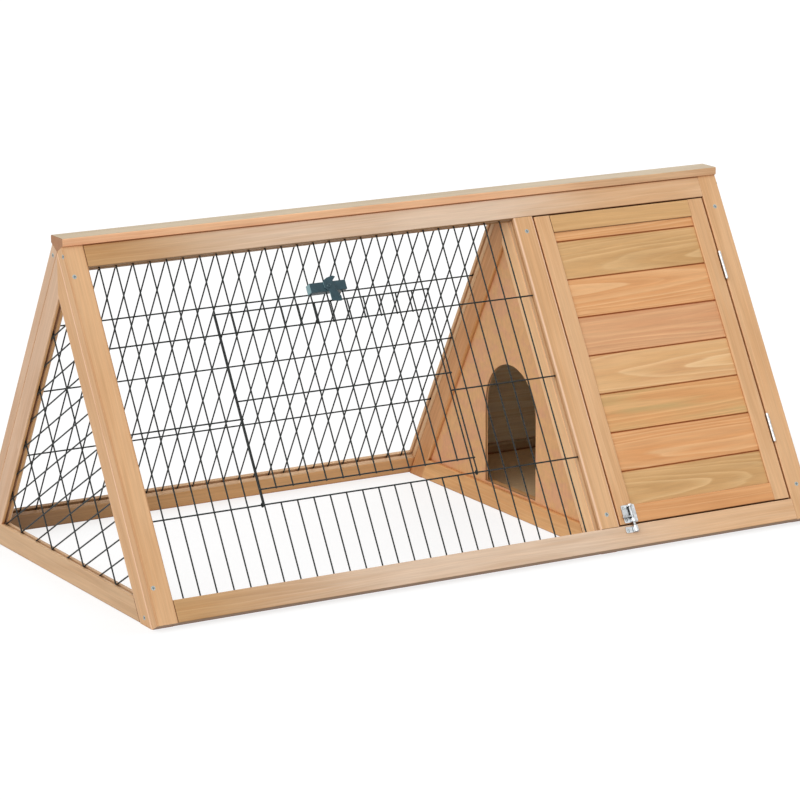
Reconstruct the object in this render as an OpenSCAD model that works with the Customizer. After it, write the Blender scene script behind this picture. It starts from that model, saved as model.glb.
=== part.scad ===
// A-frame rabbit run with a boarded house at its right-hand end.
// X runs along the ridge, the front is towards -Y, and the ground is Z = 0.
// The origin is on the ground, under the middle of the ridge. Lengths are in millimetres.

/* [Overall] */
// Length of the run along the ridge
run_l = 1180; // [1040:10:1320]
// Length of each sloping panel from ridge to ground
slope_l = 590; // [560:5:640]
// Angle between each sloping panel and the ground
lean = 60; // [58:1:62]
// Length of the boarded house, from the middle stile's outer edge to the end
house_l = 399.5; // [370:0.5:440]

/* [Panel frames] */
// Width of the stiles
stile_w = 35; // [30:1:42]
// Width of the top and bottom rails
rail_w = 35; // [30:1:42]
// Thickness of the sloping panels
panel_t = 20; // [18:1:24]
// Radius on the long edges of every bar
edge_r = 2; // [1:0.5:3]
// Width of the groove in the bars' inner edges
groove_w = 5.2; // [4.8:0.1:6]
// Depth of the groove
groove_d = 7; // [6:0.5:9]
// Height of the groove's middle above the panel's inner face
groove_o = 11; // [9:0.5:12]
// Clearance round tongues, boards and sheets in their grooves
joint_fit = 0.1; // [0.05:0.05:0.2]

/* [Triangular frames] */
// Width of the legs
leg_w = 35; // [30:1:42]
// Height of the bottom rails
foot_h = 35; // [30:1:42]
// Thickness of the left end frame
end_t = 17; // [15:1:20]
// Thickness of the two frames of the house
house_t = 30; // [26:1:34]
// Depth of the left end's wire behind the frame's outer face
end_mesh_in = 8; // [7:0.5:10]
// Depth of the doorway panel's middle behind the partition's face
ply_in = 8.5; // [7:0.5:12]
// Depth of the end boards' middle behind the end frame's outer face
end_board_in = 7.5; // [7:0.5:12]

/* [Ridge cap] */
// Width of the ridge cap
cap_w = 40; // [38:1:48]
// Height of its upright sides
cap_side = 11.5; // [8:0.5:16]

/* [Wire mesh] */
// Diameter of the wire
wire_d = 2.4; // [2:0.1:2.8]
// Depth that two crossing wires sink into each other at a weld
weld = 0.4; // [0.2:0.1:0.6]
// Distance between neighbouring close wires
wire_pitch = 28.1; // [26:0.1:32]
// Distance between the rows that cross them on the sloping panels
row_pitch = 135; // [120:1:145]
// Distance of the middle row below the middle of the panel
row_shift = 3; // [0:1:10]
// Distance between the rows that cross the close wires at the left end
end_row_pitch = 96; // [80:1:120]
// Distance of the left end's first row from the front panel
end_row_first = 102; // [90:1:120]
// Distance of the left end's first close wire below the ridge
end_wire_first = 101; // [90:1:115]

/* [Wire door] */
// Number of mesh cells left of the door
door_skip = 6; // [4:1:8]
// Number of mesh cells across the door
door_cells = 13; // [10:1:14]
// Distance of the door's side wires outside the opening's wires
side_out = 4.5; // [3.5:0.5:6]
// Height of the door above the opening
door_rise = 31; // [20:1:40]
// Height of the door's lowest cross wire above its hinge wire
door_hem = 23; // [15:1:30]
// Clearance between the door's wire loops and the wire they turn on
loop_gap = 0.3; // [0.1:0.05:0.4]

/* [Wire door latch] */
// Length of the latch block
latch_l = 63; // [60:1:70]
// Width of the latch block
latch_w = 15.5; // [13:0.5:17]
// Height of the latch block above the wires it clips on
latch_h = 11.5; // [9:0.5:14]
// Distance of the latch's pivot above the door's top wire
latch_rise = 22; // [20:0.5:24]
// Thickness of the turning lever
lever_t = 2; // [1.5:0.1:3]
// Diameter of the rivet that the lever turns on
rivet_d = 4; // [3:0.5:5]

/* [House] */
// Width of one board from seam to seam
board_pitch = 64.4; // [60:0.2:75]
// Visible width of the lowest board
board_first = 56; // [46:0.5:57]
// Thickness of the boards
board_t = 9; // [8:0.5:10]
// Gap between neighbouring boards
board_gap = 0.3; // [0.2:0.1:0.5]
// Thickness of the floor
floor_t = 9; // [6:0.5:10]
// Height of the floor's upper face
floor_top = 14; // [12:0.5:20]
// Thickness of the doorway panel
ply_t = 5; // [4:0.1:5]
// Half the width of the arched doorway
arch_half = 77; // [60:1:80]
// Distance of the doorway's middle behind the middle of the run
arch_y = -17; // [-20:1:0]
// Height where the arch starts
arch_spring = 170; // [150:1:180]
// Height of the doorway's sill
arch_sill = 39; // [38:0.5:45]

/* [House door] */
// Width of the door's frame bars
door_bar_w = 29; // [25:1:34]
// Thickness of the door
door_t = 18; // [17:0.5:18]
// Gap between the door and the middle stile
door_gap_left = 2.5; // [2:0.1:4]
// Gap between the door and the right stile, where the hinges are
door_gap_right = 3; // [3:0.1:4]
// Gap above and below the door
door_gap_ends = 2; // [1.5:0.1:3]
// Depth of the door's boards below its face
board_sunk = 3; // [2:0.5:4]

/* [Door hinges] */
// Length of a hinge
hinge_l = 46; // [40:1:55]
// Distance of each hinge's middle from the end of the door
hinge_in = 118; // [90:1:130]
// Diameter of the hinge barrel
barrel_d = 4.6; // [4.4:0.1:6]
// Diameter of the hinge pin
pin_d = 2.3; // [2:0.1:2.6]
// Thickness of a hinge leaf
leaf_t = 1.2; // [0.8:0.1:1.3]
// Width of a hinge leaf
leaf_w = 16; // [14:0.5:16]

/* [Door bolt] */
// Diameter of the bolt's rod
rod_d = 5; // [4:0.1:5.4]
// Distance of the rod from the door's left edge
rod_in = 22.5; // [20:0.5:24]
// Length of the bolt's plate
plate_l = 29; // [28:0.5:34]
// Width of the bolt's plate
plate_w = 25; // [22:0.5:26]
// Thickness of the bolt's plate and of the keeper's
plate_t = 1.2; // [1:0.1:1.6]
// Length of the keeper
keeper_l = 10; // [8:0.5:12]
// Depth that the rod reaches into the keeper
rod_reach = 8.5; // [7:0.5:9]

/* [Screws] */
// Diameter of the frame screws
screw_d = 3.5; // [3:0.1:4]
// Diameter of their heads
screw_head_d = 7; // [6:0.1:8]
// Length of the screws through the panels
screw_l = 45; // [35:1:50]
// Diameter of the small screws of the hinges and the bolt
small_screw_d = 2.2; // [2:0.1:2.4]

/* [Hidden] */
$fn = 48;

// Directions and the main planes
run = cos(lean);
rise = sin(lean);
apex_z = slope_l * rise;
left_x = -run_l / 2;
right_x = run_l / 2;
mid_x = right_x - house_l;
house_x0 = mid_x + stile_w;
house_x1 = right_x - stile_w;
field_s0 = rail_w;
field_s1 = slope_l - rail_w;
seat_d = groove_d - 0.5;
tongue_t = groove_w - 2 * joint_fit;
far = 2 * slope_l;

// Wire layers: the close wires lie inside, the rows lie on them
wire_o = groove_o - (wire_d - weld) / 2;
row_o = wire_o + wire_d - weld;
mesh_x0 = left_x + stile_w;
mesh_mid_x = (mesh_x0 + mid_x) / 2;
wire_n = floor((mid_x - mesh_x0) / wire_pitch);
row_mid_s = (field_s0 + field_s1) / 2 + row_shift;
row_top_s = row_mid_s - row_pitch;
row_low_s = row_mid_s + row_pitch;

// The wire door: its wires lie outside the mesh, on loops round the low row
door_first = door_skip;
door_last = door_skip + door_cells;
loop_r = wire_d + loop_gap;
door_wire_o = row_o + loop_r;
door_row_o = door_wire_o + wire_d - weld;
door_x0 = wire_x(door_first) - side_out;
door_x1 = wire_x(door_last) + side_out;
door_top_s = row_top_s - door_rise;
door_low_s = row_low_s - door_hem;
wire_end = 1.5;

// The wire door's latch, on the three wires about the door's middle wire
latch_k = door_skip + floor((door_cells + 1) / 2);
latch_x = wire_x(latch_k);
latch_s = door_top_s - latch_rise;
latch_under = 3;
latch_o0 = wire_o - latch_under;
latch_o1 = wire_o + latch_h;
lever_gap = 0.2;
lever_o = latch_o1 + lever_gap;
rivet_deep = 9;
rivet_head_t = 1.5;
// Outline of the lever about its pivot: across, and down the slope
lever_tab = [[-8, -9], [-1.5, -13], [9, -16], [15, -14], [8, -7]];
lever_blade = [[12, 8], [17, 19], [16, 26], [8, 25.5], [-1, 23], [-1, 8.7], [-8, 3]];

// Joints between the boards
board_chamfer = 1.2;
board_tongue_l = 4;
board_tongue_t = 2.4;
board_play = 0.3;
floor_play = 0.3;

// The house door
hd_x0 = house_x0 + door_gap_left;
hd_x1 = house_x1 - door_gap_right;
hd_s0 = field_s0 + door_gap_ends;
hd_s1 = field_s1 - door_gap_ends;
hd_o0 = panel_t - door_t;
hd_groove_o = panel_t - board_sunk - board_t / 2 - hd_o0;

// Hinges of the house door: their leaves stand in the gap beside the door
pin_x = house_x1 - door_gap_right / 2;
pin_fit = 0.05;
barrel_lift = 0.2;
pin_o = panel_t + barrel_lift + barrel_d / 2;
leaf_sunk = 0.1;
leaf_top = panel_t - leaf_sunk;
pin_head = 0.8;
pin_head_d = barrel_d - 0.8;
knuckle_gap = 0.3;
knuckle_l = (hinge_l - 2 * knuckle_gap) / 3;
hinge_s = [hd_s0 + hinge_in, hd_s1 - hinge_in];
hinge_screw_ds = [-12, 12];
hinge_screw_deep = 3.2;
hinge_screw_o = panel_t - hinge_screw_deep;
hinge_screw_l = 14;
hinge_screw_head_d = 4.2;

// Bolt of the house door
rod_x = hd_x0 + rod_in;
guide_wall = 1.4;
guide_fit = 0.1;
keeper_fit = 0.3;
rod_lift = 0.5;
rod_o = panel_t + plate_t + rod_lift + rod_d / 2;
plate_left = 14.5;
plate_x0 = rod_x - plate_left;
plate_margin = 1;
plate_s1 = hd_s1 - plate_margin;
plate_s0 = plate_s1 - plate_l;
guide_low_l = 6;
guide_top_l = 4;
keeper_margin = 3;
keeper_s0 = field_s1 + keeper_margin;
rod_tail = 2;
rod_s0 = plate_s0 - rod_tail;
rod_s1 = keeper_s0 + rod_reach;
knob_d = 3;
knob_l = 16;
knob_ball_d = 4.4;
knob_flat = 0.1;
knob_gap = 3.5;
knob_s = plate_s1 - guide_low_l - knob_gap;
bolt_screw_ds = [5, 24];
bolt_screw_dx = 4;
bolt_screw_l = 12;
bolt_screw_head_d = 5;
keeper_flange = 16.5;
keeper_side = 7.25;
keeper_screw_dx = 4;
keeper_screw_ds = 6.5;

// Screws: slope distances of the upper and lower ones on each stile, left to right
screw_fit = 0.05;
screw_top_s = [48, 59, 54];
screw_low_from_ground = 57;
screw_x = [left_x + end_t / 2, mid_x + stile_w / 2, right_x - stile_w / 2];
// Screws through the stiles' outer edges into the top rails, and one in each front foot
rail_screw_s = 14;
rail_screw_front_o = 16;
rail_screw_back_o = 9;
rail_screw_bite = 25;
rail_screw_l = stile_w + rail_screw_bite;
foot_screw_s_from_ground = 23;
foot_screw_in = 16;
foot_screw_l = 14;

// Colours
fir = "sandybrown";
fir_board = "peru";
fir_end = "burlywood";
ply = "tan";
black_wire = "darkslategray";
zinc = "silver";

function wire_x(k) = mesh_mid_x + (k - (wire_n - 1) / 2) * wire_pitch;

// Half the clear width between the slopes at height z, kept off them by a
function half_y(z, a) = ((apex_z - z) * run - a) / rise;

// Triangle between the slopes, kept off them by a, above height z
function triangle(a, z) = [[-half_y(z, a), z], [half_y(z, a), z], [0, apex_z - a / run]];

// ---- Placing ----

// Front slope: X along the ridge, -Y down the slope from the ridge, Z outwards
module on_front() {
    translate([0, 0, apex_z]) rotate([lean, 0, 0]) children();
}

module on_back() {
    mirror([0, 1, 0]) on_front() children();
}

// A flat shape drawn as (Y, Z), given the thickness t from x onwards
module upright(x, t) {
    translate([x, 0, 0]) rotate([90, 0, 90]) linear_extrude(t) children();
}

// A profile drawn as (X, outwards), carried down the slope
module down_slope(s0, s1) {
    translate([0, -s0, 0]) rotate([90, 0, 0]) linear_extrude(s1 - s0) children();
}

// A profile drawn as (up the slope, outwards), carried along the ridge
module along_ridge(x0, x1) {
    translate([x0, 0, 0]) rotate([90, 0, 90]) linear_extrude(x1 - x0) children();
}

module rod_down(x, o, s0, s1, d) {
    translate([x, -s0, o]) rotate([90, 0, 0]) cylinder(h = s1 - s0, d = d);
}

module rod_along(s, o, x0, x1, d) {
    translate([x0, -s, o]) rotate([0, 90, 0]) cylinder(h = x1 - x0, d = d);
}

// A box given by its limits on the slope
module slope_box(x0, x1, s0, s1, o0, o1) {
    translate([x0, -s1, o0]) cube([x1 - x0, s1 - s0, o1 - o0]);
}

// ---- Bars ----

// Section of a bar with rounded corners, its lower left corner at the origin
module bar_section(w, t) {
    union() {
        translate([edge_r, 0]) square([w - 2 * edge_r, t]);
        translate([0, edge_r]) square([w, t - 2 * edge_r]);
        for (x = [edge_r, w - edge_r], y = [edge_r, t - edge_r])
            translate([x, y]) circle(edge_r);
    }
}

// The same with a groove in its low edge, its high edge, or both
module grooved_section(w, t, g_mid, low, high) {
    difference() {
        bar_section(w, t);
        if (low) translate([-1, g_mid - groove_w / 2]) square([groove_d + 1, groove_w]);
        if (high) translate([w - groove_d, g_mid - groove_w / 2]) square([groove_d + 1, groove_w]);
    }
}

// ---- Screws ----

// A countersunk screw with a cross recess, its head flush with Z = 0, going down
module screw(d, head_d, l) {
    head_h = (head_d - d) / 2;
    slot = head_d * 0.6;
    difference() {
        union() {
            translate([0, 0, -head_h]) cylinder(h = head_h, d1 = d, d2 = head_d);
            translate([0, 0, d - l]) cylinder(h = l - d - head_h, d = d);
            translate([0, 0, -l]) cylinder(h = d, d1 = d / 4, d2 = d);
        }
        for (a = [0, 90])
            rotate([0, 0, a]) translate([-slot / 2, -slot / 8, -head_h * 0.8])
                cube([slot, slot / 4, head_h]);
    }
}

// The hole for such a screw
module screw_hole(d, head_d, l) {
    head_h = (head_d - d) / 2;
    translate([0, 0, -head_h]) cylinder(h = head_h, d1 = d + 2 * screw_fit, d2 = head_d + 2 * screw_fit);
    translate([0, 0, -l - 1]) cylinder(h = l + 1, d = d + 2 * screw_fit);
}

// Places of the screws through a sloping panel into the triangular frames
module at_panel_screws() {
    for (i = [0:2], s = [screw_top_s[i], slope_l - screw_low_from_ground])
        translate([screw_x[i], -s, panel_t]) children();
}

// Places of the screws through the outer edges of the end stiles
module at_rail_screws(o) {
    translate([left_x, -rail_screw_s, o]) rotate([0, -90, 0]) children();
    translate([right_x, -rail_screw_s, o]) rotate([0, 90, 0]) children();
}

// Place of the screw in the left end's front foot
module at_foot_screw() {
    on_front() translate([left_x, foot_screw_s_from_ground - slope_l, -foot_screw_in])
        rotate([0, -90, 0]) children();
}

// Places of one hinge's screws, going into the bar on its right
module at_hinge_screws() {
    for (s = hinge_s, ds = hinge_screw_ds)
        translate([pin_x + door_gap_right / 2 - leaf_t, -s - ds, hinge_screw_o])
            rotate([0, -90, 0]) children();
}

module mirror_at_pin() {
    translate([pin_x, 0, 0]) mirror([1, 0, 0]) translate([-pin_x, 0, 0]) children();
}

module at_bolt_screws() {
    for (ds = bolt_screw_ds)
        translate([plate_x0 + bolt_screw_dx, -plate_s0 - ds, panel_t + plate_t]) children();
}

module at_keeper_screw() {
    translate([rod_x - keeper_flange + keeper_screw_dx, -keeper_s0 - keeper_screw_ds, panel_t + plate_t])
        children();
}

module frame_screw_holes(rail_o) {
    at_panel_screws() screw_hole(screw_d, screw_head_d, screw_l);
    at_rail_screws(rail_o) screw_hole(screw_d, screw_head_d, rail_screw_l);
}

// ---- Sloping panels ----

// A stile from s0 to s1. low and high say which edges are grooved
module stile(x0, s0, s1, low, high) {
    down_slope(s0, s1) translate([x0, 0]) grooved_section(stile_w, panel_t, groove_o, low, high);
}

// A rail between the end stiles, with a tongue in each stile's groove
module rail(s0, low, high) {
    x0 = left_x + stile_w;
    x1 = right_x - stile_w;
    t0 = low ? 0 : groove_d;
    t1 = low ? rail_w - groove_d : rail_w;
    along_ridge(x0, x1) translate([-s0 - rail_w, 0])
        grooved_section(rail_w, panel_t, groove_o, low, high);
    for (x = [x0 - seat_d, x1 - 1])
        slope_box(x, x + seat_d + 1, s0 + t0, s0 + t1,
            groove_o - tongue_t / 2, groove_o + tongue_t / 2);
}

module left_stile(rail_o) {
    difference() {
        stile(left_x, 0, slope_l, false, true);
        frame_screw_holes(rail_o);
    }
}

module right_stile(rail_o) {
    difference() {
        stile(right_x - stile_w, 0, slope_l, true, false);
        frame_screw_holes(rail_o);
    }
}

// The middle stile stands between the rails, with a tongue in each rail's groove
module middle_stile(high) {
    x0 = mid_x + groove_d;
    x1 = mid_x + stile_w - (high ? groove_d : 0);
    difference() {
        union() {
            stile(mid_x, field_s0, field_s1, true, high);
            for (s = [field_s0 - seat_d, field_s1 - 1])
                slope_box(x0, x1, s, s + seat_d + 1,
                    groove_o - tongue_t / 2, groove_o + tongue_t / 2);
        }
        at_panel_screws() screw_hole(screw_d, screw_head_d, screw_l);
    }
}

module top_rail(rail_o) {
    difference() {
        rail(0, true, false);
        frame_screw_holes(rail_o);
    }
}

module bottom_rail() {
    rail(slope_l - rail_w, false, true);
}

module ridge_cap() {
    half = cap_w / 2;
    shoulder = half * run / rise;
    color(fir_end) upright(left_x, run_l) difference() {
        translate([-half, apex_z]) bar_section(cap_w, shoulder + cap_side);
        polygon([
            [0, apex_z],
            [cap_w, apex_z + cap_w * run / rise],
            [cap_w, apex_z - 1],
            [-cap_w, apex_z - 1],
            [-cap_w, apex_z + cap_w * run / rise]
        ]);
    }
}

// ---- Triangular frames ----

// The front leg of a frame from x to x + t, mitred at the top and cut flat at the ground
module leg(x, t, groove_x) {
    difference() {
        intersection() {
            on_front() down_slope(-leg_w, slope_l + leg_w)
                translate([x, -leg_w]) bar_section(t, leg_w);
            upright(x - 1, t + 2)
                polygon([[0, apex_z], [-half_y(0, 0), 0], [-half_y(0, leg_w), 0], [0, apex_z - leg_w / run]]);
        }
        frame_groove(groove_x);
        on_front() at_panel_screws() screw_hole(screw_d, screw_head_d, screw_l);
    }
}

// The groove that a frame's mesh, boards or doorway panel sits in
module frame_groove(groove_x) {
    upright(groove_x - groove_w / 2, groove_w) polygon(triangle(leg_w - groove_d, foot_h - groove_d));
}

module foot_rail(x, t, groove_x) {
    difference() {
        intersection() {
            translate([0, -far / 2, 0]) rotate([90, 0, 180]) translate([-x - t, 0, 0])
                linear_extrude(far) bar_section(t, foot_h);
            upright(x - 1, t + 2) polygon([
                [-half_y(0, leg_w), 0],
                [half_y(0, leg_w), 0],
                [half_y(foot_h, leg_w), foot_h],
                [-half_y(foot_h, leg_w), foot_h]
            ]);
        }
        frame_groove(groove_x);
    }
}

module back_leg(x, t, groove_x) {
    mirror([0, 1, 0]) leg(x, t, groove_x);
}

// ---- Boards ----

// One board as a section (height, thickness), with tongue and groove and V-jointed edges
module board_section(lowest, highest) {
    h = board_pitch - board_gap;
    v = board_chamfer;
    tongue_l = board_tongue_l;
    tongue = board_tongue_t;
    play = board_play;
    m = board_t / 2;
    top_edge = highest ? [] : [
        [h, m - tongue / 2],
        [h + tongue_l, m - tongue / 2],
        [h + tongue_l, m + tongue / 2],
        [h, m + tongue / 2]
    ];
    low_edge = lowest ? [] : [
        [0, m + tongue / 2 + play],
        [tongue_l + play, m + tongue / 2 + play],
        [tongue_l + play, m - tongue / 2 - play],
        [0, m - tongue / 2 - play]
    ];
    polygon(concat([[0, 0], [h, 0]], top_edge, [[h, board_t - v], [h - v, board_t]],
        [[v, board_t], [0, board_t - v]], low_edge));
}

// A stack of boards lying along X from the height 0 upwards, their inner faces on Z = 0.
// Its children are the clear opening, and the same opening out to the bottom of its grooves
module board_stack(x0, x1, height) {
    n = ceil((height + seat_d - board_first) / board_pitch);
    for (i = [0:n]) intersection() {
        along_ridge(x0, x1) translate([board_first + (i - 1) * board_pitch, 0])
            board_section(i == 0, i == n);
        union() {
            linear_extrude(board_t) children(0);
            translate([0, 0, (board_t - tongue_t) / 2]) linear_extrude(tongue_t) children(1);
        }
    }
}

// Boards in a four-sided opening on a slope, their middle plane at o
module slope_boards(x0, x1, s0, s1, o) {
    translate([0, -s1, o - board_t / 2]) board_stack(x0 - seat_d, x1 + seat_d, s1 - s0) {
        translate([x0 + joint_fit, joint_fit])
            square([x1 - x0 - 2 * joint_fit, s1 - s0 - 2 * joint_fit]);
        translate([x0 - seat_d, -seat_d]) square([x1 - x0 + 2 * seat_d, s1 - s0 + 2 * seat_d]);
    }
}

// The same triangle drawn from the height of the foot rail's upper edge
module clear_triangle(a, z) {
    translate([0, -foot_h]) polygon(triangle(a, z));
}

module right_end_boards() {
    color(fir_board) translate([right_x - end_board_in - board_t / 2, 0, foot_h]) rotate([90, 0, 90])
        board_stack(-slope_l, slope_l, apex_z - leg_w / run - foot_h) {
            clear_triangle(leg_w + joint_fit, foot_h + joint_fit);
            clear_triangle(leg_w - seat_d, foot_h - seat_d);
        }
}

module house_back_boards() {
    color(fir_board) on_back() slope_boards(house_x0, house_x1, field_s0, field_s1, groove_o);
}

module house_door_boards() {
    color(fir_board) on_front() slope_boards(hd_x0 + door_bar_w, hd_x1 - door_bar_w,
        hd_s0 + door_bar_w, hd_s1 - door_bar_w, hd_o0 + hd_groove_o);
}

// ---- Doorway panel and floor ----

module partition_panel() {
    color(ply) upright(mid_x + ply_in - ply_t / 2, ply_t) difference() {
        polygon(triangle(leg_w - seat_d, foot_h - seat_d));
        translate([arch_y - arch_half, arch_sill]) square([2 * arch_half, arch_spring - arch_sill]);
        translate([arch_y, arch_spring]) circle(arch_half, $fn = 96);
    }
}

module house_floor() {
    low = floor_top - floor_t;
    play = floor_play;
    color(ply) upright(mid_x + house_t + play, house_l - 2 * house_t - 2 * play) polygon([
        [-half_y(low, play), low],
        [half_y(low, play), low],
        [half_y(floor_top, play), floor_top],
        [-half_y(floor_top, play), floor_top]
    ]);
}

// ---- Wire mesh ----

// Close wires k0 to k1 from s0 to s1, and the rows in the list from x0 to x1
module mesh(k0, k1, s0, s1, rows, x0, x1) {
    union() {
        for (k = [k0:k1]) rod_down(wire_x(k), wire_o, s0, s1, wire_d);
        for (s = rows) rod_along(s, row_o, x0, x1, wire_d);
    }
}

mesh_s0 = field_s0 - seat_d;
mesh_s1 = field_s1 + seat_d;
rows = [row_top_s, row_mid_s, row_low_s];
opening_x0 = wire_x(door_first) + wire_d / 2;
opening_x1 = wire_x(door_last) - wire_d / 2;

module front_mesh_left() {
    color(black_wire) on_front()
        mesh(0, door_first, mesh_s0, mesh_s1, rows, mesh_x0 - seat_d, opening_x0);
}

module front_mesh_right() {
    color(black_wire) on_front()
        mesh(door_last, wire_n - 1, mesh_s0, mesh_s1, rows, opening_x1, mid_x + seat_d);
}

module front_mesh_top() {
    color(black_wire) on_front() mesh(door_first + 1, door_last - 1, mesh_s0,
        row_top_s + wire_end, [row_top_s], opening_x0, opening_x1);
}

module front_mesh_bottom() {
    color(black_wire) on_front() mesh(door_first + 1, door_last - 1, row_low_s - wire_end,
        mesh_s1, [row_low_s], opening_x0, opening_x1);
}

module back_mesh() {
    color(black_wire) on_back()
        mesh(0, wire_n - 1, mesh_s0, mesh_s1, rows, mesh_x0 - seat_d, mid_x + seat_d);
}

// The left end: close wires square to the front leg, rows along it
module left_end_mesh() {
    mid = left_x + end_mesh_in;
    step = wire_d - weld;
    last_s = (apex_z - foot_h - leg_w * run) / rise;
    wires = floor((last_s - end_wire_first) / wire_pitch);
    last_a = half_y(foot_h, leg_w) * rise + (apex_z - foot_h) * run;
    cross = floor((last_a - end_row_first) / end_row_pitch);
    color(black_wire) intersection() {
        on_front() union() {
            for (i = [0:wires])
                translate([mid - step / 2, -end_wire_first - i * wire_pitch, -slope_l])
                    cylinder(h = slope_l, d = wire_d);
            for (i = [0:cross])
                rod_down(mid + step / 2, -end_row_first - i * end_row_pitch, 0, slope_l, wire_d);
        }
        upright(mid - groove_w / 2, groove_w) polygon(triangle(leg_w - seat_d, foot_h - seat_d));
    }
}

// ---- Wire door and its latch ----

module run_door() {
    gap = (door_x1 - door_x0) / door_cells;
    top = door_top_s - wire_end;
    color(black_wire) on_front() union() {
        for (x = [door_x0, door_x1]) {
            rod_down(x, door_wire_o, top, row_low_s, wire_d);
            translate([x, -row_low_s, row_o]) rotate([0, 90, 0]) rotate([0, 0, 180])
                rotate_extrude(angle = 270) translate([loop_r, 0]) circle(d = wire_d);
        }
        for (i = [1:door_cells - 1])
            rod_down(door_x0 + i * gap, door_wire_o, top, door_low_s + wire_end, wire_d);
        for (s = [door_top_s, (door_top_s + door_low_s) / 2, door_low_s])
            rod_along(s, door_row_o, door_x0 - wire_end, door_x1 + wire_end, wire_d);
    }
}

// The block is threaded on three close wires of the panel
module run_latch_block() {
    color("black") on_front() difference() {
        slope_box(latch_x - latch_l / 2, latch_x + latch_l / 2,
            latch_s - latch_w / 2, latch_s + latch_w / 2, latch_o0, latch_o1);
        for (k = [-1:1])
            rod_down(latch_x + k * wire_pitch, wire_o, latch_s - latch_w, latch_s + latch_w,
                wire_d + 2 * screw_fit);
        translate([latch_x, -latch_s, latch_o1 - rivet_deep])
            cylinder(h = latch_h, d = rivet_d + 2 * screw_fit);
    }
}

module run_latch_rivet() {
    top = lever_o + lever_t + lever_gap;
    color(zinc) on_front() translate([latch_x, -latch_s, 0]) {
        translate([0, 0, latch_o1 - rivet_deep]) cylinder(h = top - latch_o1 + rivet_deep, d = rivet_d);
        translate([0, 0, top]) cylinder(h = rivet_head_t, d1 = 1.9 * rivet_d, d2 = 1.3 * rivet_d);
    }
}

module run_latch_lever() {
    outline = [for (p = concat(lever_tab, lever_blade)) [p[0], -p[1]]];
    color("black") on_front() translate([latch_x, -latch_s, lever_o]) difference() {
        linear_extrude(lever_t) polygon(outline);
        translate([0, 0, -1]) cylinder(h = lever_t + 2, d = rivet_d + 2 * pin_fit);
    }
}

// ---- House door ----

// A bar of the door's frame, grooved in the edge that faces the boards
module door_stile(x0, low, high) {
    down_slope(hd_s0, hd_s1) translate([x0, hd_o0])
        grooved_section(door_bar_w, door_t, hd_groove_o, low, high);
}

module door_rail(s0, low, high) {
    x0 = hd_x0 + door_bar_w;
    x1 = hd_x1 - door_bar_w;
    t0 = low ? 0 : groove_d;
    t1 = low ? door_bar_w - groove_d : door_bar_w;
    o = hd_o0 + hd_groove_o;
    along_ridge(x0, x1) translate([-s0 - door_bar_w, hd_o0])
        grooved_section(door_bar_w, door_t, hd_groove_o, low, high);
    for (x = [x0 - seat_d, x1 - 1])
        slope_box(x, x + seat_d + 1, s0 + t0, s0 + t1, o - tongue_t / 2, o + tongue_t / 2);
}

module house_door_left_stile() {
    color(fir) on_front() difference() {
        door_stile(hd_x0, false, true);
        at_bolt_screws() screw_hole(small_screw_d, bolt_screw_head_d, bolt_screw_l);
    }
}

module house_door_right_stile() {
    color(fir) on_front() difference() {
        door_stile(hd_x1 - door_bar_w, true, false);
        mirror_at_pin() at_hinge_screws() screw_hole(small_screw_d, hinge_screw_head_d, hinge_screw_l);
    }
}

module house_door_top_rail() {
    color(fir) on_front() door_rail(hd_s0, true, false);
}

module house_door_bottom_rail() {
    color(fir) on_front() door_rail(hd_s1 - door_bar_w, false, true);
}

// ---- Hinges ----

// One leaf with its knuckles, standing against the bar on the right of the pin.
// knuckles lists which thirds of the barrel belong to it
module hinge_leaf(s, knuckles) {
    x1 = pin_x + door_gap_right / 2;
    difference() {
        union() {
            slope_box(x1 - leaf_t, x1, s - hinge_l / 2, s + hinge_l / 2, leaf_top - leaf_w, leaf_top);
            for (i = knuckles) {
                a = s - hinge_l / 2 + i * (knuckle_l + knuckle_gap);
                slope_box(x1 - leaf_t, x1, a, a + knuckle_l, leaf_top - 1, pin_o);
                rod_down(pin_x, pin_o, a, a + knuckle_l, barrel_d);
            }
        }
        rod_down(pin_x, pin_o, s - hinge_l, s + hinge_l, pin_d + 2 * pin_fit);
        at_hinge_screws() screw_hole(small_screw_d, hinge_screw_head_d, hinge_screw_l);
    }
}

module hinge_frame_leaves() {
    color(zinc) on_front() for (s = hinge_s) hinge_leaf(s, [0, 2]);
}

module hinge_door_leaves() {
    color(zinc) on_front() mirror_at_pin() for (s = hinge_s) hinge_leaf(s, [1]);
}

module hinge_pins() {
    color(zinc) on_front() for (s = hinge_s) {
        rod_down(pin_x, pin_o, s - hinge_l / 2 - pin_head, s + hinge_l / 2 + pin_head, pin_d);
        for (a = [s - hinge_l / 2 - pin_head - joint_fit, s + hinge_l / 2 + joint_fit])
            rod_down(pin_x, pin_o, a, a + pin_head, pin_head_d);
    }
}

module hinge_frame_screws() {
    color(zinc) on_front() at_hinge_screws() screw(small_screw_d, hinge_screw_head_d, hinge_screw_l);
}

module hinge_door_screws() {
    color(zinc) on_front() mirror_at_pin() at_hinge_screws()
        screw(small_screw_d, hinge_screw_head_d, hinge_screw_l);
}

// ---- Bolt ----

// A round-topped loop on a plate, with a bore for the rod
module guide(s0, s1, fit) {
    outer = rod_d + 2 * fit + 2 * guide_wall;
    slope_box(rod_x - outer / 2, rod_x + outer / 2, s0, s1, panel_t, rod_o);
    rod_down(rod_x, rod_o, s0, s1, outer);
}

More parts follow.
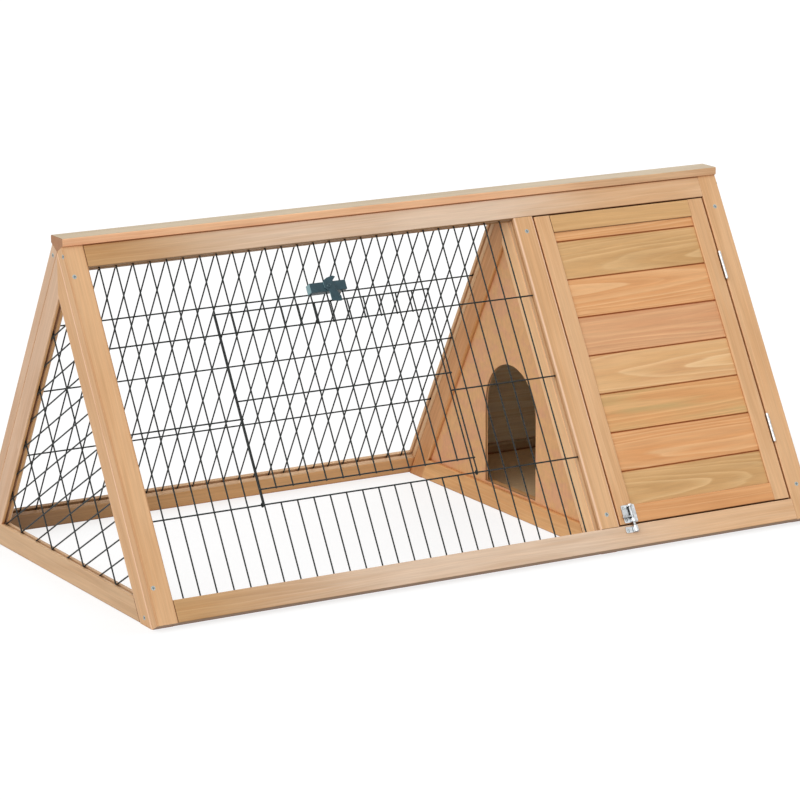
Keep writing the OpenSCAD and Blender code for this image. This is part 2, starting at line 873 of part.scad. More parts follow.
module bolt_plate() {
    color(zinc) on_front() difference() {
        union() {
            slope_box(plate_x0, plate_x0 + plate_w, plate_s0, plate_s1, panel_t, panel_t + plate_t);
            guide(plate_s0, plate_s0 + guide_top_l, guide_fit);
            guide(plate_s1 - guide_low_l, plate_s1, guide_fit);
        }
        rod_down(rod_x, rod_o, plate_s0 - 1, plate_s1 + 1, rod_d + 2 * guide_fit);
        at_bolt_screws() screw_hole(small_screw_d, bolt_screw_head_d, bolt_screw_l);
    }
}

module bolt_plate_screws() {
    color(zinc) on_front() at_bolt_screws() screw(small_screw_d, bolt_screw_head_d, bolt_screw_l);
}

module bolt_rod() {
    color(zinc) on_front() union() {
        rod_down(rod_x, rod_o, rod_s0, rod_s1, rod_d);
        translate([rod_x, -knob_s, rod_o]) rotate([0, -90, 0]) rotate_extrude() {
            square([knob_d / 2, knob_l]);
            intersection() {
                translate([0, knob_l]) circle(d = knob_ball_d);
                square([knob_ball_d, knob_l + knob_ball_d / 2 - knob_flat]);
            }
        }
    }
}

module bolt_keeper() {
    color(zinc) on_front() difference() {
        union() {
            slope_box(rod_x - keeper_flange, rod_x + keeper_side, keeper_s0, keeper_s0 + keeper_l,
                panel_t, panel_t + plate_t);
            guide(keeper_s0, keeper_s0 + keeper_l, keeper_fit);
        }
        rod_down(rod_x, rod_o, keeper_s0 - 1, keeper_s0 + keeper_l + 1, rod_d + 2 * keeper_fit);
        at_keeper_screw() screw_hole(small_screw_d, bolt_screw_head_d, bolt_screw_l);
    }
}

module frame_screws() {
    color(zinc) {
        on_front() at_panel_screws() screw(screw_d, screw_head_d, screw_l);
        on_back() at_panel_screws() screw(screw_d, screw_head_d, screw_l);
        on_front() at_rail_screws(rail_screw_front_o) screw(screw_d, screw_head_d, rail_screw_l);
        on_back() at_rail_screws(rail_screw_back_o) screw(screw_d, screw_head_d, rail_screw_l);
        at_foot_screw() screw(screw_d, screw_head_d, foot_screw_l);
        on_front() at_keeper_screw() screw(small_screw_d, bolt_screw_head_d, bolt_screw_l);
    }
}

// ---- Named pieces of the frames ----

module front_left_stile() {
    color(fir) on_front() left_stile(rail_screw_front_o);
}

module front_middle_stile() {
    color(fir) on_front() middle_stile(false);
}

module front_right_stile() {
    color(fir) on_front() difference() {
        right_stile(rail_screw_front_o);
        at_hinge_screws() screw_hole(small_screw_d, hinge_screw_head_d, hinge_screw_l);
    }
}

module front_top_rail() {
    color(fir) on_front() top_rail(rail_screw_front_o);
}

module front_bottom_rail() {
    color(fir) on_front() difference() {
        bottom_rail();
        at_keeper_screw() screw_hole(small_screw_d, bolt_screw_head_d, bolt_screw_l);
    }
}

module back_left_stile() {
    color(fir) on_back() left_stile(rail_screw_back_o);
}

module back_middle_stile() {
    color(fir) on_back() middle_stile(true);
}

module back_right_stile() {
    color(fir) on_back() right_stile(rail_screw_back_o);
}

module back_top_rail() {
    color(fir) on_back() top_rail(rail_screw_back_o);
}

module back_bottom_rail() {
    color(fir) on_back() bottom_rail();
}

module left_end_front_leg() {
    color(fir) difference() {
        leg(left_x, end_t, left_x + end_mesh_in);
        at_foot_screw() screw_hole(screw_d, screw_head_d, foot_screw_l);
    }
}

module left_end_back_leg() {
    color(fir) back_leg(left_x, end_t, left_x + end_mesh_in);
}

module left_end_bottom_rail() {
    color(fir) foot_rail(left_x, end_t, left_x + end_mesh_in);
}

module right_end_front_leg() {
    color(fir) leg(right_x - house_t, house_t, right_x - end_board_in);
}

module right_end_back_leg() {
    color(fir) back_leg(right_x - house_t, house_t, right_x - end_board_in);
}

module right_end_bottom_rail() {
    color(fir) foot_rail(right_x - house_t, house_t, right_x - end_board_in);
}

module partition_front_leg() {
    color(fir) leg(mid_x, house_t, mid_x + ply_in);
}

module partition_back_leg() {
    color(fir) back_leg(mid_x, house_t, mid_x + ply_in);
}

module partition_bottom_rail() {
    color(fir) foot_rail(mid_x, house_t, mid_x + ply_in);
}

ridge_cap();
front_left_stile();
front_middle_stile();
front_right_stile();
front_top_rail();
front_bottom_rail();
back_left_stile();
back_middle_stile();
back_right_stile();
back_top_rail();
back_bottom_rail();
left_end_front_leg();
left_end_back_leg();
left_end_bottom_rail();
left_end_mesh();
right_end_front_leg();
right_end_back_leg();
right_end_bottom_rail();
right_end_boards();
partition_front_leg();
partition_back_leg();
partition_bottom_rail();
partition_panel();
house_floor();
house_back_boards();
front_mesh_left();
front_mesh_right();
front_mesh_top();
front_mesh_bottom();
back_mesh();
run_door();
run_latch_block();
run_latch_rivet();
run_latch_lever();
house_door_left_stile();
house_door_right_stile();
house_door_top_rail();
house_door_bottom_rail();
house_door_boards();
hinge_frame_leaves();
hinge_door_leaves();
hinge_pins();
hinge_frame_screws();
hinge_door_screws();
bolt_plate();
bolt_plate_screws();
bolt_rod();
bolt_keeper();
frame_screws();
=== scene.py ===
"""Finishes, small hardware and studio for an A-frame rabbit run with a boarded house."""

import math
from functools import partial

import bmesh
import bpy
from bpy.props import FloatProperty, FloatVectorProperty, PointerProperty
from mathutils import Euler, Matrix, Vector


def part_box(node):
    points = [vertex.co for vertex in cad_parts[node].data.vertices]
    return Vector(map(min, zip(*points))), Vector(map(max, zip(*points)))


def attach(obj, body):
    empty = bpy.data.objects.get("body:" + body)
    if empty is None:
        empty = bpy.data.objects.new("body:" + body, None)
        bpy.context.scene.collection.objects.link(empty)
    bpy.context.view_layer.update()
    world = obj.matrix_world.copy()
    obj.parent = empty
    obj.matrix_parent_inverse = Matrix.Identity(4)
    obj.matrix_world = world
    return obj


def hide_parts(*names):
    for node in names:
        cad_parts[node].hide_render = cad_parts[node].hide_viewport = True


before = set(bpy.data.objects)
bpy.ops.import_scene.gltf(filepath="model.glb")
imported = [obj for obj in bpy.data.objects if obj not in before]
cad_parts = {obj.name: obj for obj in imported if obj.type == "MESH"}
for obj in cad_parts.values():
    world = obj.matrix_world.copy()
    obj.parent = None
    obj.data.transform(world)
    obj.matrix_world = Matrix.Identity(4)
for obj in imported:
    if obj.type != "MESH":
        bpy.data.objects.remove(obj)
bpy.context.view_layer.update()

bl_info = {
    "name": "Rabbit run dresser",
    "version": (1, 0, 0),
    "blender": (4, 5, 0),
    "location": "3D View > Sidebar > Rabbit run",
    "description": "Gives a rabbit run its fir, wire, plywood and zinc, its small hardware and a studio",
    "category": "Object",
}

MM = 0.001

# The front panel leans on the ridge: X along the ridge, -Y down the slope, Z outwards
LEAN = math.radians(60)
SLOPE = 590
RIDGE_HEIGHT = SLOPE * math.sin(LEAN)
ON_FRONT = Matrix.Translation((0, 0, RIDGE_HEIGHT * MM)) @ Matrix.Rotation(LEAN, 4, "X") @ Matrix.Scale(MM, 4)


def linear(code):
    """The linear RGB of a colour that is written as an sRGB hex code."""
    parts = [int(code[i : i + 2], 16) / 255 for i in (1, 3, 5)]
    return tuple(c / 12.92 if c <= 0.04045 else ((c + 0.055) / 1.055) ** 2.4 for c in parts)


def paint(code):
    return (*linear(code), 1.0)


def dimmed(colour, share):
    """A colour of the settings made darker or lighter, with its alpha."""
    return (*[c * share for c in colour], 1.0)


def colour_property(name, description, code):
    return FloatVectorProperty(
        name=name, description=description, subtype="COLOR", size=3, min=0, max=1, default=linear(code)
    )


def length_property(name, description, millimetres):
    return FloatProperty(
        name=name, description=description, unit="LENGTH", subtype="DISTANCE", min=0, default=millimetres * MM
    )


def share_property(name, description, share):
    return FloatProperty(name=name, description=description, subtype="FACTOR", min=0, max=1, default=share)


def strength_property(name, description, strength):
    return FloatProperty(name=name, description=description, min=0, default=strength)


def angle_property(name, description, degrees):
    return FloatProperty(name=name, description=description, subtype="ANGLE", default=math.radians(degrees))


class TimberSettings(bpy.types.PropertyGroup):
    ring_width: length_property("Ring width", "Distance between growth rings in the bars", 4.2)
    board_ring_width: length_property("Board ring width", "Distance between growth rings in the boards", 5.5)
    board_pitch: length_property("Board pitch", "Distance from seam to seam of the boards", 64.4)
    board_first: length_property("Lowest board", "Visible width of the lowest board", 56)
    contrast: share_property("Contrast", "How clearly the growth rings show", 0.6)
    ply_face: colour_property("Plywood", "Face veneer of the plywood", "#e4af78")
    ply_blush: colour_property("Plywood blush", "Rosy patches on the plywood's face", "#e2a77c")
    ply_floor: colour_property("Floor plywood", "Face veneer of the house's floor", "#ecc99c")
    ply_core: colour_property("Plywood core", "Cut edge of the plywood's middle layer", "#8a5f3c")


class WireSettings(bpy.types.PropertyGroup):
    coat: colour_property("Coating", "Colour of the wire's coating", "#161c1b")
    roughness: share_property("Roughness", "Roughness of the coating", 0.48)


class LatchSettings(bpy.types.PropertyGroup):
    plastic: colour_property("Plastic", "Colour of the latch", "#2b444c")
    # Painted light on the latch's end that faces the lamp
    lit_end: colour_property("Lit end", "Colour of the latch's end", "#87abb0")
    edge: length_property("Edge radius", "Radius of the block's edges", 1.0)
    lever_edge: length_property("Lever edge radius", "Radius of the lever's edges", 0.5)


class ZincSettings(bpy.types.PropertyGroup):
    plate: colour_property("Zinc", "Colour of the hinges and the bolt", "#d9dcde")
    screws: colour_property("Screws", "Colour of the screws", "#b8c1bf")
    edge: length_property("Edge radius", "Radius of the pressed plates' edges", 0.35)
    corner: length_property("Corner radius", "Radius of the plates' corners", 2.2)


class StudioSettings(bpy.types.PropertyGroup):
    floor_size: length_property("Floor", "Length of the floor's sides", 24000)
    sky: strength_property("Sky", "Strength of the light from all round", 0.5)
    key: strength_property("Key", "Strength of the soft lamp at the left", 0.48)
    key_azimuth: angle_property("Key azimuth", "Turn of the soft lamp about the upright", -62)
    key_elevation: angle_property("Key elevation", "Height of the soft lamp above the horizon", 36)
    fill: strength_property("Fill", "Strength of the soft lamp in front", 0.2)
    fill_azimuth: angle_property("Fill azimuth", "Turn of the front lamp about the upright", -15)
    fill_elevation: angle_property("Fill elevation", "Height of the front lamp above the horizon", 12)
    rear: strength_property("Rear", "Strength of the soft lamp behind", 0.34)
    rear_azimuth: angle_property("Rear azimuth", "Turn of the rear lamp about the upright", 118)
    rear_elevation: angle_property("Rear elevation", "Height of the rear lamp above the horizon", 38)
    spread: angle_property("Spread", "Width of the lamps as the run sees them", 55)
    lens: FloatProperty(name="Lens", description="Focal length of the camera", unit="CAMERA", default=168.86)
    distance: length_property("Camera distance", "Distance of the camera from its target", 5954.1)
    azimuth: angle_property("Azimuth", "Turn of the camera about the upright", -30.225)
    elevation: angle_property("Elevation", "Height of the camera above the horizon", 13.524)
    roll: angle_property("Roll", "Turn of the picture about its middle", 0.21)


SETTINGS = {
    "rabbit_run_timber": TimberSettings,
    "rabbit_run_wire": WireSettings,
    "rabbit_run_latch": LatchSettings,
    "rabbit_run_zinc": ZincSettings,
    "rabbit_run_studio": StudioSettings,
}


# ---- Nodes ----


def add_node(tree, kind, inputs=(), **settings):
    """Adds one node with its settings, and fills its inputs in order, or by name or number from a dict.

    An input is given a number, a colour, a socket to link from, or a node to link from its first output.
    """
    made = tree.nodes.new(kind)
    for key, value in settings.items():
        setattr(made, key, value)
    for key, value in inputs.items() if isinstance(inputs, dict) else enumerate(inputs):
        if isinstance(value, bpy.types.Node):
            value = value.outputs[0]
        if isinstance(value, bpy.types.NodeSocket):
            tree.links.new(value, made.inputs[key])
        else:
            made.inputs[key].default_value = value
    return made


def set_stops(ramp, stops, interpolation="LINEAR"):
    """Gives a colour ramp its stops: (place, colour)."""
    elements = ramp.color_ramp.elements
    ramp.color_ramp.interpolation = interpolation
    while len(elements) < len(stops):
        elements.new(1.0)
    for element, (place, colour) in zip(elements, stops):
        element.position = place
        element.color = colour


def grey(value):
    return (value, value, value, 1.0)


def new_group(name, takes, gives):
    """An empty node group with the sockets that it takes and gives: (label, kind)."""
    group = bpy.data.node_groups.new(name, "ShaderNodeTree")
    for in_out, sockets in (("INPUT", takes), ("OUTPUT", gives)):
        for label, kind in sockets:
            group.interface.new_socket(label, in_out=in_out, socket_type="NodeSocket" + kind)
    return group


# For a range that starts and ends softly
SOFTLY = {"interpolation_type": "SMOOTHSTEP"}

# Cloudy patterns in fir: length to width, size in millimetres, detail and roughness
FIR_NOISE = {
    "bend": (11, 30, 2, 0.5),
    # Wider than real fibres, so that they show
    "fibres": (34, 1.5, 2, 0.6),
    "streaks": (24, 7, 3, 0.6),
    "patches": (9, 20, 2, 0.5),
    "clouds": (5, 75, 2, 0.5),
}
# Share of late wood across a growth ring: it grows slowly and ends sharply
RING = [(0.0, 0.25), (0.1, 0.0), (0.5, 0.16), (0.82, 0.8), (0.93, 1.0), (1.0, 0.25)]
# Size in millimetres of the cells that may have a knot, the share that has none, a knot's length to its width
KNOT_CELL, NO_KNOT, KNOT_STRETCH = 95, 0.8, 2.2
KNOT_TONE = "#74492a"
# Painted shade in joints and grooves, mixed with the stain that gathers there
SEAM_SHADE_AND_STAIN_TINT = "#c8935f"
END_TINT = "#bbb2a6"


def fir_figure():
    """Node group: the figure of sawn and stained fir. Its place is in millimetres, with X along the grain."""
    group = new_group(
        "Sawn fir figure",
        [("Place", "Vector"), ("Early wood", "Color"), ("Late wood", "Color"), ("Drift", "Color"),
         ("Arris", "Color"), ("Ring width", "Float"), ("Contrast", "Float"), ("Knots", "Float"),
         ("End grain", "Float"), ("On arris", "Float")],
        [("Color", "Color"), ("Roughness", "Float"), ("Height", "Float")],
    )
    add = partial(add_node, group)
    takes = add("NodeGroupInput").outputs
    place = takes["Place"]

    def stretched(along):
        """The place, which makes a pattern on it longer along the grain."""
        return add("ShaderNodeVectorMath", [place, (1 / along, 1, 1)], operation="MULTIPLY")

    noise = {
        name: add(
            "ShaderNodeTexNoise",
            {"Vector": stretched(along), "Scale": 1 / size, "Detail": detail, "Roughness": roughness},
        )
        for name, (along, size, detail, roughness) in FIR_NOISE.items()
    }

    # Pin knots about 5 mm across: at most one in each cell, and none in most cells
    cells = add("ShaderNodeTexVoronoi", {"Vector": stretched(KNOT_STRETCH), "Scale": 1 / KNOT_CELL}).outputs
    chance = add("ShaderNodeSeparateColor", [cells["Color"]])
    chance = add("ShaderNodeMath", [chance, takes["Knots"]], operation="MULTIPLY")
    has_knot = add("ShaderNodeMath", [chance, NO_KNOT], operation="GREATER_THAN")
    distance = add("ShaderNodeMath", [cells["Distance"], KNOT_CELL], operation="MULTIPLY")
    # The rings swirl within 20 mm of it
    swirl = add("ShaderNodeMapRange", [distance, 0, 20, 1.6, 0], **SOFTLY)
    swirl = add("ShaderNodeMath", [swirl, has_knot], operation="MULTIPLY")
    knot = add("ShaderNodeMapRange", [distance, 1.2, 4.2, 1, 0], **SOFTLY)
    knot = add("ShaderNodeMath", [knot, has_knot], operation="MULTIPLY")

    # Growth rings round the pith, which runs along X: bent slowly along the grain, and of uneven width
    bend = add("ShaderNodeVectorMath", [noise["bend"].outputs["Color"], (0.5,) * 3], operation="SUBTRACT")
    across = add("ShaderNodeVectorMath", [place, (0, 1, 1)], operation="MULTIPLY")
    bent = add("ShaderNodeVectorMath", [bend, (0, 13, 13), across], operation="MULTIPLY_ADD")
    radius = add("ShaderNodeVectorMath", [bent], operation="LENGTH").outputs["Value"]
    radius = add("ShaderNodeMath", [radius, takes["Ring width"]], operation="DIVIDE")
    uneven = add("ShaderNodeMath", [radius, 0.45], operation="MULTIPLY")
    uneven = add("ShaderNodeTexNoise", {"W": uneven, "Scale": 1.0, "Detail": 1.0}, noise_dimensions="1D")
    count = add("ShaderNodeMath", [uneven, 3.2, radius], operation="MULTIPLY_ADD")
    count = add("ShaderNodeMath", [count, swirl], operation="ADD")
    boldness = add("ShaderNodeMath", [count], operation="FLOOR")
    boldness = add("ShaderNodeTexWhiteNoise", {"W": boldness}, noise_dimensions="1D")
    boldness = add("ShaderNodeMath", [boldness, 0.75, 0.25], operation="MULTIPLY_ADD")
    late = add("ShaderNodeMath", [count], operation="FRACT")
    late = add("ShaderNodeValToRGB", [late])
    set_stops(late, [(at, grey(level)) for at, level in RING])
    late = add("ShaderNodeMath", [late, boldness], operation="MULTIPLY")

    # The stain drifts to its other tone in long patches, and late wood takes less of it
    drift = add("ShaderNodeMath", [noise["clouds"], 0.55], operation="MULTIPLY")
    drift = add("ShaderNodeMath", [noise["patches"], 0.45, drift], operation="MULTIPLY_ADD")
    drift = add("ShaderNodeMapRange", [drift, 0.42, 0.6], **SOFTLY)
    lines = add("ShaderNodeMath", [late, takes["Contrast"]], operation="MULTIPLY")
    fine = add("ShaderNodeMath", [noise["fibres"], 0.22, 0.89], operation="MULTIPLY_ADD")
    broad = add("ShaderNodeMath", [noise["streaks"], 0.32, -0.16], operation="MULTIPLY_ADD")
    depth = add("ShaderNodeMath", [fine, broad], operation="ADD")
    # Painted shade from ambient occlusion in joints and grooves, up to 5 mm wide, which also stands for the
    # stain that gathers there
    seam_shade_and_stain = add("ShaderNodeAmbientOcclusion", {"Distance": 5 * MM}, samples=4).outputs["AO"]
    seam_shade_and_stain = add("ShaderNodeMapRange", [seam_shade_and_stain, 0.35, 0.85, 0.9, 0], **SOFTLY)
    knot = add("ShaderNodeMath", [knot, 0.7], operation="MULTIPLY")
    # Painted light along an arris: a pale highlight on some bars and a dark line on another, broken up by the
    # streaks
    arris = add("ShaderNodeMapRange", [noise["streaks"], 0.2, 0.5], **SOFTLY)
    arris = add("ShaderNodeMath", [takes["On arris"], arris], operation="MULTIPLY")

    colour = takes["Early wood"]
    for share, tone in ((drift, takes["Drift"]), (lines, takes["Late wood"])):
        colour = add("ShaderNodeMix", {0: share, 6: colour, 7: tone}, data_type="RGBA").outputs[2]
    colour = add("ShaderNodeVectorMath", [colour, depth], operation="MULTIPLY")
    for share, tone, blend in (
        (seam_shade_and_stain, paint(SEAM_SHADE_AND_STAIN_TINT), "MULTIPLY"),
        # End grain drinks more stain
        (takes["End grain"], paint(END_TINT), "MULTIPLY"),
        (knot, paint(KNOT_TONE), "MIX"),
        (arris, takes["Arris"], "MIX"),
    ):
        layer = {0: share, 6: colour, 7: tone}
        colour = add("ShaderNodeMix", layer, data_type="RGBA", blend_type=blend).outputs[2]

    roughness = add("ShaderNodeMath", [noise["fibres"], 0.2, 0.42], operation="MULTIPLY_ADD")
    height = add("ShaderNodeMath", [late, 0.4], operation="MULTIPLY")
    height = add("ShaderNodeMath", [noise["fibres"], 0.6, height], operation="MULTIPLY_ADD")
    add("NodeGroupOutput", {"Color": colour, "Roughness": roughness, "Height": height})
    return group


def board_row():
    """Node group: tells the boards of a row apart. Y runs across them in millimetres, and its 0 is a seam."""
    group = new_group(
        "Row of boards",
        [("Place", "Vector"), ("Pitch", "Float"), ("Seed", "Float")],
        [("Place", "Vector"), ("Board", "Float"), ("Seam", "Float")],
    )
    add = partial(add_node, group)
    takes = add("NodeGroupInput").outputs
    parts = add("ShaderNodeSeparateXYZ", [takes["Place"]]).outputs
    count = add("ShaderNodeMath", [parts["Y"], takes["Pitch"]], operation="DIVIDE")
    board = add("ShaderNodeMath", [count], operation="FLOOR")
    within = add("ShaderNodeMath", [count], operation="FRACT")
    within = add("ShaderNodeMath", [within, 0.5], operation="SUBTRACT")
    chance = add("ShaderNodeMath", [board, takes["Seed"]], operation="ADD")
    chance = add("ShaderNodeTexWhiteNoise", {"W": chance}, noise_dimensions="1D").outputs["Color"]
    chance = add("ShaderNodeSeparateColor", [chance]).outputs
    # Each board has its own length of tree. Its pith lies 8 to 42 mm behind its middle, a little askew
    along = add("ShaderNodeMath", [chance[0], 4000, parts["X"]], operation="MULTIPLY_ADD")
    off_centre = add("ShaderNodeMath", [chance[1], 0.5], operation="SUBTRACT")
    off_centre = add("ShaderNodeMath", [off_centre, 46], operation="MULTIPLY")
    across = add("ShaderNodeMath", [within, takes["Pitch"]], operation="MULTIPLY")
    across = add("ShaderNodeMath", [across, off_centre], operation="ADD")
    slant = add("ShaderNodeMath", [chance[2], 0.5], operation="SUBTRACT")
    slant = add("ShaderNodeMath", [slant, 0.11], operation="MULTIPLY")
    slant = add("ShaderNodeMath", [slant, parts["X"]], operation="MULTIPLY")
    depth = add("ShaderNodeMath", [chance[2], 7], operation="MULTIPLY")
    depth = add("ShaderNodeMath", [depth], operation="FRACT")
    depth = add("ShaderNodeMath", [depth, 34, 8], operation="MULTIPLY_ADD")
    depth = add("ShaderNodeMath", [parts["Z"], depth], operation="ADD")
    depth = add("ShaderNodeMath", [depth, slant], operation="ADD")
    in_tree = add("ShaderNodeCombineXYZ", [along, across, depth])
    # Stain gathers within 2.4 mm of a seam, together with painted shade of the V-groove
    seam = add("ShaderNodeMath", [within], operation="ABSOLUTE")
    seam = add("ShaderNodeMath", [0.5, seam], operation="SUBTRACT")
    seam = add("ShaderNodeMath", [seam, takes["Pitch"]], operation="MULTIPLY")
    seam = add("ShaderNodeMapRange", [seam, 0.4, 2.4, 1, 0], **SOFTLY)
    add("NodeGroupOutput", {"Place": in_tree, "Board": board, "Seam": seam})
    return group


def material(name):
    """An empty material, and add_node for its nodes."""
    made = bpy.data.materials.new(name)
    made.use_nodes = True
    made.node_tree.nodes.clear()
    return made, partial(add_node, made.node_tree)


# ---- Timber ----

# Turns that bring a bar's grain onto X and its face onto Z
GRAIN = {
    "along ridge, front": (-LEAN, 0, 0),
    "down slope, front": (-LEAN, 0, math.pi / 2),
    "along ridge, back": (LEAN, 0, 0),
    "down slope, back": (LEAN, 0, math.pi / 2),
    "along ridge": (0, 0, 0),
    "across": (0, 0, math.pi / 2),
    "upright": (0, math.pi / 2, 0),
}

# Stains: early wood, late wood (which takes less stain), and the tone that it drifts to
STAINS = {
    "tan": ("#d9ac7f", "#e4bb8f", "#d0a071"),
    # Tan painted lighter for the partition's front leg, to make up for the shade it stands in
    "tan lit against shade": ("#fccd9a", "#ffd8aa", "#f4c18c"),
    "golden": ("#e8b175", "#f0c089", "#dfa468"),
    "straw": ("#dcba8c", "#e6c99c", "#d2ad7c"),
    "rose": ("#d3af90", "#dfbd9e", "#caa280"),
    "dun": ("#d0aa82", "#dcb992", "#c69d74"),
    "pink": ("#dbbfa5", "#e5cdb6", "#cfae90"),
    "grey": ("#bfab8d", "#cab99d", "#b59f7f"),
    "peach": ("#f0bb8f", "#f7c79d", "#e5a87d"),
    "orange": ("#d79b65", "#e9ba88", "#cd8e58"),
    "brown": ("#cf966a", "#e2b283", "#cf9b70"),
    "honey": ("#d29861", "#e2b17b", "#c3a06a"),
    "olive": ("#cda06b", "#dab380", "#c29661"),
    "pale": ("#d7a772", "#e9c392", "#cf9c6b"),
    "raw": ("#ecdcbd", "#f4e8cf", "#e2cfac"),
    "warm": ("#dca76e", "#e8bb86", "#d09a60"),
    "umber": ("#bf9464", "#cda576", "#b58756"),
    # Painted shade, for faces that the light doesn't reach
    "drips": ("#956f48", "#a37c55", "#88633e"),
}

# Arrises that show: a painted highlight along the legs and the middle stile, and a painted dark line along
# the left stile
ARRIS_LIGHT_AND_SHADE = {
    "left_end_front_leg": "#eac2a0",
    "left_end_back_leg": "#e2bd9c",
    "front_middle_stile": "#ecc5a5",
    "front_left_stile": "#bf8c5f",
}

# Long rails go over to other stains towards their ends: left, right
ENDS = {
    "ridge_cap": ("peach", "dun"),
    "front_top_rail": ("umber", "tan"),
    "front_bottom_rail": ("umber", "tan"),
    # The back bottom rail's dark left end is painted shade, cast by the left end of the run
    "back_bottom_rail": ("drips", "grey"),
}
# Where they do so, in millimetres from the middle of the run, and how far at the right
LEFT_END = (-560, -180)
RIGHT_END = (130, 420)
RIGHT_SHARE = 0.8

# Painted bounce light: a warmer, lighter stain on the faces that look down into the run
BOUNCE_LIT_INSIDES = [
    "back_left_stile", "back_middle_stile", "back_top_rail", "back_bottom_rail",
    "left_end_back_leg", "partition_back_leg",
]

BARS = [
    ("ridge_cap", "along ridge", "peach"),
    ("front_left_stile", "down slope, front", "tan"),
    ("front_middle_stile", "down slope, front", "tan"),
    ("front_right_stile", "down slope, front", "tan"),
    ("front_top_rail", "along ridge, front", "pink"),
    ("front_bottom_rail", "along ridge, front", "pink"),
    ("back_left_stile", "down slope, back", "rose"),
    ("back_middle_stile", "down slope, back", "tan"),
    ("back_right_stile", "down slope, back", "orange"),
    ("back_top_rail", "along ridge, back", "tan"),
    ("back_bottom_rail", "along ridge, back", "dun"),
    ("left_end_front_leg", "down slope, front", "tan"),
    ("left_end_back_leg", "down slope, back", "rose"),
    ("left_end_bottom_rail", "across", "dun"),
    ("right_end_front_leg", "down slope, front", "straw"),
    ("right_end_back_leg", "down slope, back", "tan"),
    ("right_end_bottom_rail", "across", "straw"),
    ("partition_front_leg", "down slope, front", "tan lit against shade"),
    ("partition_back_leg", "down slope, back", "orange"),
    ("partition_bottom_rail", "across", "golden"),
    ("house_door_left_stile", "down slope, front", "tan"),
    ("house_door_right_stile", "down slope, front", "tan"),
    ("house_door_top_rail", "along ridge, front", "olive"),
    ("house_door_bottom_rail", "along ridge, front", "orange"),
]

# Rows of boards: node, grain, and the stains from the lowest board upwards
ROWS = [
    ("house_door_boards", "along ridge, front",
     ["olive", "orange", "honey", "pale", "brown", "orange", "olive", "orange"]),
    ("house_back_boards", "along ridge, back",
     ["orange", "olive", "pale", "brown", "orange", "pale", "olive", "honey", "orange"]),
    ("right_end_boards", "across",
     ["brown", "orange", "pale", "olive", "orange", "brown", "pale"]),
]

# About how deep the lowest board stands in its groove, in millimetres
BOARD_SEAT = 6
# Stain gathered at the seams, with painted shade of the V-groove
SEAM_STAIN_AND_SHADE_TINT = "#cda078"


def centred(add, node, turn):
    """The place on a node in millimetres from its middle, with X along its grain; and half its size."""
    basis = turn.to_matrix()
    turned = [basis @ (v.co / MM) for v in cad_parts[node].data.vertices]
    low, high = Vector(map(min, zip(*turned))), Vector(map(max, zip(*turned)))
    place = add(
        "ShaderNodeMapping",
        {"Vector": add("ShaderNodeTexCoord").outputs["Object"], "Location": -(low + high) / 2,
         "Rotation": turn, "Scale": (1 / MM,) * 3},
    )
    return place, (high - low) / 2


def end_grain(add, turn):
    """1 on the faces that cut the grain across."""
    facing = add("ShaderNodeTexCoord").outputs["Normal"]
    facing = add("ShaderNodeMapping", {"Vector": facing, "Rotation": turn}, vector_type="VECTOR")
    facing = add("ShaderNodeSeparateXYZ", [facing]).outputs["X"]
    facing = add("ShaderNodeMath", [facing], operation="ABSOLUTE")
    return add("ShaderNodeMapRange", [facing, 0.55, 0.85])


def stain_tones(stain):
    """A stain's three tones as colours."""
    return [paint(code) for code in STAINS[stain]]


def two_stains(add, share, first, second):
    """A stain's three tones, going over to another stain's where the share is 1."""
    return [
        add("ShaderNodeMix", {0: share, 6: one, 7: other}, data_type="RGBA").outputs[2]
        for one, other in zip(first, second)
    ]


def finish_wood(add, figure, colour, relief):
    """Thinly stained wood: satin, a little rougher where the grain is open."""
    bump = add("ShaderNodeBump", {"Strength": relief, "Distance": 0.3 * MM, "Height": figure["Height"]})
    shader = add(
        "ShaderNodeBsdfPrincipled",
        {"Base Color": colour, "Roughness": figure["Roughness"], "Normal": bump, "IOR": 1.5,
         "Specular IOR Level": 0.35},
    )
    add("ShaderNodeOutputMaterial", {"Surface": shader})


